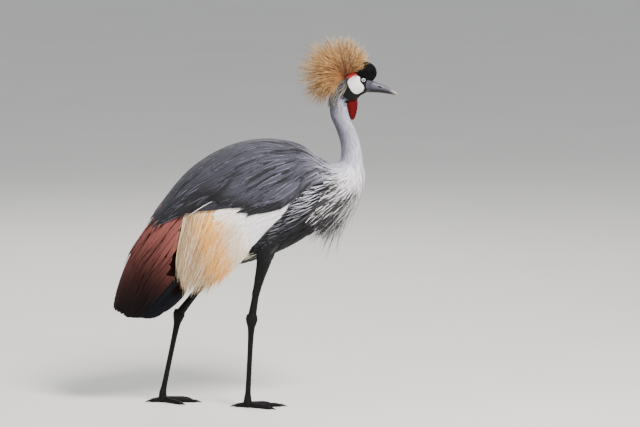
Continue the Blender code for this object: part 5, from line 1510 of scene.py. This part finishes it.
TARSUS_RADII = [
    (0.0118, 0.0095), (0.0142, 0.0108), (0.0118, 0.0096), (0.0080, 0.0075),
    (0.0064, 0.0058), (0.0062, 0.0056), (0.0068, 0.0062), (0.0088, 0.0086),
]
TARSUS_SHARES = (-0.055, 0.0, 0.06, 0.14, 0.35, 0.70, 0.92, 1.0)
ANKLES = {RIGHT: (-0.0068, 0.0500, 0.2180), LEFT: (-0.1840, 0.0480, 0.2150)}
FEET = {RIGHT: (-0.0170, 0.0330, 0.0230), LEFT: (-0.2240, 0.0420, 0.0230)}
TOES = [("inner", 42, 0.062), ("middle", 6, 0.082), ("outer", -30, 0.066), ("hind", 172, 0.030)]


def tube(surface, first, last, rings, sides):
    at = np.linspace(first, last, rings)[:, None] * np.ones((1, sides))
    turn = np.ones((rings, 1)) * np.linspace(-1, 1, sides, endpoint=False)[None]
    return surface(at, turn), grid_faces(rings, sides)


def toe_surface(base, heading, length):
    """Toe with knuckle pads: at 0 to 1 from the foot's middle, turn 0 on top, 1 on the sole."""
    ahead = np.array([math.cos(heading), math.sin(heading), 0])
    across = np.array([-math.sin(heading), math.cos(heading), 0])

    def surface(at, turn):
        at, turn = np.asarray(at, float), np.asarray(turn, float)
        pad = 1 + 0.10 * np.cos(at * 6 * np.pi)
        close = np.sqrt(np.clip(1 - np.clip((at - 0.84) / 0.16, 0, 1) ** 2, 0.06, 1))
        wide = 0.0056 * (1.15 - 0.45 * at) * pad * close
        high = 0.0135 * (1 - 0.42 * at) * (0.96 + 0.04 * pad) * (0.45 + 0.55 * close)
        level = np.maximum(0.5 + 0.56 * np.cos(np.pi * turn), 0.0)
        place = base + (at * length)[..., None] * ahead - (wide * np.sin(np.pi * turn))[..., None] * across
        return place + (high * level)[..., None] * np.array([0, 0, 1.0])

    return surface


def leg_tint(at, turn, share, column, seed):
    colour = blend(paint(30, 27, 28), paint(58, 52, 52), ramp(share, 0.5, 1.0) * 0.7)
    return vary(colour, seed, 0.2)


def make_leg(side, look, scutes, horn):
    name = SIDE_NAMES[side]
    knee = mirrored(THIGHS[side][-1], side)
    ankle, foot = mirrored(ANKLES[side], side), mirrored(FEET[side], side)
    base = np.array([foot[0], foot[1], 0.0])
    tarsus = limb_surface([ankle + (foot - ankle) * s for s in TARSUS_SHARES], TARSUS_RADII)
    down = unit(ankle - knee)
    shank = limb_surface(
        [knee - down * 0.012, knee, (knee + ankle) / 2, ankle + down * 0.004],
        [(0.0072, 0.0070), (0.0082, 0.0079), (0.0088, 0.0083), (0.0108, 0.0094)],
    )
    sole = limb_surface([foot, foot * 0.6 + base * 0.4, base + [0, 0, 0.0002]],
                        [(0.0088, 0.0086), (0.0100, 0.0098), (0.0105, 0.0100)])
    shells = [tube(shank, 0, 3, 50, 28), tube(tarsus, 0, 7, 110, 28), tube(sole, 0, 2, 12, 28)]
    toes = {}
    for toe, angle, length in TOES:
        toes[toe] = toe_surface(base, side * -math.radians(angle), length)
        shells.append(tube(toes[toe], 0.0, 1.0, 40, 24))
    points, quads, tris, start = [], [], [], 0
    for place, (more_quads, more_tris) in shells:
        points.append(place.reshape(-1, 3))
        quads.append(more_quads + start)
        tris.append(more_tris + start)
        start += place.shape[0] * place.shape[1]
    made = turned_out(mesh_of(f"leg_{name}", np.concatenate(points), [np.concatenate(quads), np.concatenate(tris)]))
    remesh = made.modifiers.new("one skin", "REMESH")
    remesh.mode, remesh.voxel_size = "VOXEL", 0.0011
    soften = made.modifiers.new("soften", "SMOOTH")
    soften.factor, soften.iterations = 0.5, 4
    graph = bpy.context.evaluated_depsgraph_get()
    mesh = bpy.data.meshes.new_from_object(made.evaluated_get(graph))
    made.modifiers.clear()
    made.data = mesh
    level = np.empty(len(mesh.vertices) * 3, np.float32)
    mesh.vertices.foreach_get("co", level)
    level = level.reshape(-1, 3)
    level[:, 2] = np.maximum(level[:, 2], 0.0)
    mesh.vertices.foreach_set("co", level.ravel())
    mesh.shade_smooth()
    mesh.materials.clear()
    mesh.materials.append(look)
    finish(made, "leg_skin", f"shank_{name}", f"tarsus_{name}", f"foot_{name}")
    at, turn = rows_on(tarsus, 0.9, 6.9, 0.0052, 0.0058, 0.0, 0.42, jitter=0.05)
    front = blades(
        f"scutes_{name}", tarsus, at, turn, 0.0, 0.0082, np.interp(at, (0, 2, 7), (0.0040, 0.0032, 0.0032)),
        (-0.0006, 0.0001, 0.0003, 0.0003, -0.0002), scutes, leg_tint, (0.0, 0.3, 0.65, 0.9, 1.0),
        (0.7, 1.0, 1.0, 0.72, 0), 0.0005, columns=5, camber=0.02,
    )
    finish(front, "leg_skin")
    for toe, angle, length in TOES:
        number = int(length / 0.0045)
        at = np.linspace(0.16, 0.80, number)
        plates = blades(
            f"plates_{name}_{toe}", toes[toe], at, np.zeros(number) + 0.001, 0.0, 0.0066,
            np.interp(at, (0, 1), (0.0046, 0.0030)), (-0.0005, 0.0001, 0.0003, 0.0003, -0.0002), scutes, leg_tint,
            (0.0, 0.3, 0.65, 0.9, 1.0), (0.8, 1.0, 1.0, 0.75, 0), 0.0005, columns=7, camber=0.0,
        )
        finish(plates, "leg_skin")
        heading = side * -math.radians(angle)
        ahead = np.array([math.cos(heading), math.sin(heading), 0])
        shares = np.linspace(0, 1, 14)
        path = [base + ahead * (length - 0.004 + 0.018 * s) + [0, 0, 0.0046 - 0.0036 * s**1.6] for s in shares]
        radii = [(0.0036 * (1 - 0.90 * s**1.2), 0.0029 * (1 - 0.88 * s**1.2)) for s in shares]
        claw = limb_surface(path, radii)
        place, faces = tube(claw, 0, 13, 40, 18)
        place[..., 2] = np.maximum(place[..., 2], 0.0)
        finish(
            turned_out(mesh_of(f"nail_{name}_{toe}", place, faces, None, None, None, horn)), "claw_horn",
            f"claw_{name}_{toe}",
        )


def tree_of(made):
    points = [v.co.copy() for v in made.data.vertices]
    return BVHTree.FromPolygons(points, [tuple(p.vertices) for p in made.data.polygons])


def make_stage():
    floor = mesh_of(
        "floor", np.array([(-30, -30, 0), (30, -30, 0), (30, 30, 0), (-30, 30, 0)], float), [np.array([(0, 1, 2, 3)])],
    )
    made = skin_look("floor", 0.75, (0.74, 0.73, 0.70), (0.80, 0.79, 0.76), 6.0, 0.05)
    floor.data.materials.append(made)
    world = bpy.data.worlds.new("studio")
    bpy.context.scene.world = world
    world.use_nodes = True
    sky = world.node_tree.nodes["Background"]
    sky.inputs[0].default_value = (0.86, 0.88, 0.92, 1)
    sky.inputs[1].default_value = 0.62
    lamps = [
        ("key", (1.6, -2.2, 3.4), 1.2, 330.0, (1.0, 0.97, 0.92)),
        ("fill", (-2.6, -2.2, 1.6), 2.4, 30.0, (0.92, 0.95, 1.0)),
        ("rim", (-0.6, 2.8, 2.6), 1.8, 60.0, (1.0, 0.98, 0.95)),
    ]
    for name, place, size, power, colour in lamps:
        lamp = bpy.data.lights.new(name, "AREA")
        lamp.size, lamp.energy, lamp.color = size, power, colour
        holder = bpy.data.objects.new(name, lamp)
        bpy.context.scene.collection.objects.link(holder)
        holder.location = place
        holder.rotation_euler = (Vector((0, 0, 0.45)) - Vector(place)).to_track_quat("-Z", "Y").to_euler()


def make_camera():
    camera = bpy.data.cameras.new("camera")
    distance, tilt = 10.5, math.radians(7.5)
    camera.sensor_width = 36
    camera.lens = camera.sensor_width * distance / 1.536
    camera.clip_end = 200
    holder = bpy.data.objects.new("camera", camera)
    bpy.context.scene.collection.objects.link(holder)
    target = Vector((0.157, 0, 0.466))
    holder.location = target + Vector((0, -math.cos(tilt), math.sin(tilt))) * distance
    holder.rotation_euler = (target - holder.location).to_track_quat("-Z", "Y").to_euler()
    bpy.context.scene.camera = holder


def main():
    soft = feather_look("soft_plumage", 0.80, 0.08, 6, 0.6, 0.25, 0.15, 0.10, 0.20)
    velvet = feather_look("velvet", 1.0, 0.04, 4, 0.5, 0.1, 0.1, 0.1)
    slate = feather_look("slate", 0.66, 0.10, 26, 0.9, 0.45, 0.28, 0.12, 0.25)
    white = feather_look("white", 0.75, 0.15, 18, 0.8, 0.30, 0.05, 0.04)
    silk = feather_look("silk", 0.62, 0.3, 4, 0.5, 0.2, 0.10, 0.08)
    chestnut = feather_look("chestnut", 0.66, 0.02, 90, 1.0, 0.5, 0.55, 0.15, 0.10)
    glossy = feather_look("glossy_black", 0.48, 0.02, 80, 1.0, 0.4, 0.2, 0.1, 0.15)
    bristle = feather_look("bristle", 0.6, 0.2, 5, 0.5, 0.2, 0.15, 0.1)
    red = skin_look("red_skin", 0.55, paint(60, 0, 1), paint(96, 3, 6), 700, 0.5, kind="TexVoronoi", gleam=0.12)
    pink = skin_look("temple_skin", 0.5, paint(192, 40, 46), paint(218, 72, 76), 900, 0.3, gleam=0.15)
    lore = skin_look("lore_skin", 0.55, paint(54, 53, 62), paint(76, 74, 86), 900, 0.35, gleam=0.2)
    bare = skin_look("cheek_skin", 0.42, paint(226, 220, 222), paint(240, 236, 236), 500, 0.25)
    dark = skin_look("dark_skin", 0.6, paint(4, 4, 5), paint(9, 8, 9), 900, 0.4, gleam=0.08)
    horn = skin_look("bill_horn", 0.40, (0.64,) * 3, (0.86,) * 3, 260, 0.25, tinted=True, gleam=0.25)
    claw = skin_look("claw_horn", 0.3, paint(14, 12, 12), paint(30, 27, 26), 500, 0.2, gleam=0.2)
    leather = skin_look(
        "leg_leather", 0.55, paint(9, 8, 9), paint(22, 20, 21), 620, 0.8, 0.0008, "TexVoronoi", gleam=0.12,
    )

    skin = make_skin()
    turned_out(skin)
    tree = tree_of(skin)
    finish(
        skin, "body_plumage", "head", "neck_upper", "neck_lower", "torso", "thigh_right", "thigh_left",
    )
    finish(make_head_coat(velvet), "black_plumage")
    finish(make_nape(bristle), "crest_straw")
    make_cap(dark, velvet)
    for side in (RIGHT, LEFT):
        points, faces = patch_on(tree, LORE, side, 0.0006, 0.0014, 20, 120)
        finish(turned_out(mesh_of(f"lore_{SIDE_NAMES[side]}", points, faces, None, None, None, lore)), "bill_horn")
        points, faces = patch_on(tree, CHEEK, side, 0.0022, 0.0016, 14, 84, 3.0)
        cheek = turned_out(mesh_of(f"bare_cheek_{SIDE_NAMES[side]}", points, faces, None, None, None, bare))
        finish(cheek, "bare_white_skin", f"cheek_{SIDE_NAMES[side]}")
        points, faces = patch_on(tree, TEMPLE, side, 0.0022, 0.0018, 10, 56)
        temple = turned_out(mesh_of(f"red_patch_{SIDE_NAMES[side]}", points, faces, None, None, None, pink))
        finish(temple, "bare_red_skin", f"temple_patch_{SIDE_NAMES[side]}")
        make_eye(side)
        make_lids(side, dark)
    make_bill(horn)
    make_wattle(red)
    make_crest(bristle)
    make_front_filaments(bristle)
    make_neck(soft)
    make_hackles(soft)
    make_flanks(soft)
    make_body(soft)
    finish(make_bed(soft_bed()), "slate_plumage", "mantle")
    make_mantle(slate)
    make_lax(slate)
    make_panel(slate)
    make_coverts(white)
    for side in (RIGHT, LEFT):
        make_thigh(side, velvet)
        make_plumes(side, silk)
        make_secondaries(side, chestnut)
        make_primaries(side, glossy)
        make_leg(side, leather, leather, claw)
    make_tail(glossy)
    make_stage()
    make_camera()


def soft_bed():
    return skin_look("bed", 0.9, (0.85,) * 3, (1.1,) * 3, 300, 0.3, tinted=True, gleam=0.05)


main()
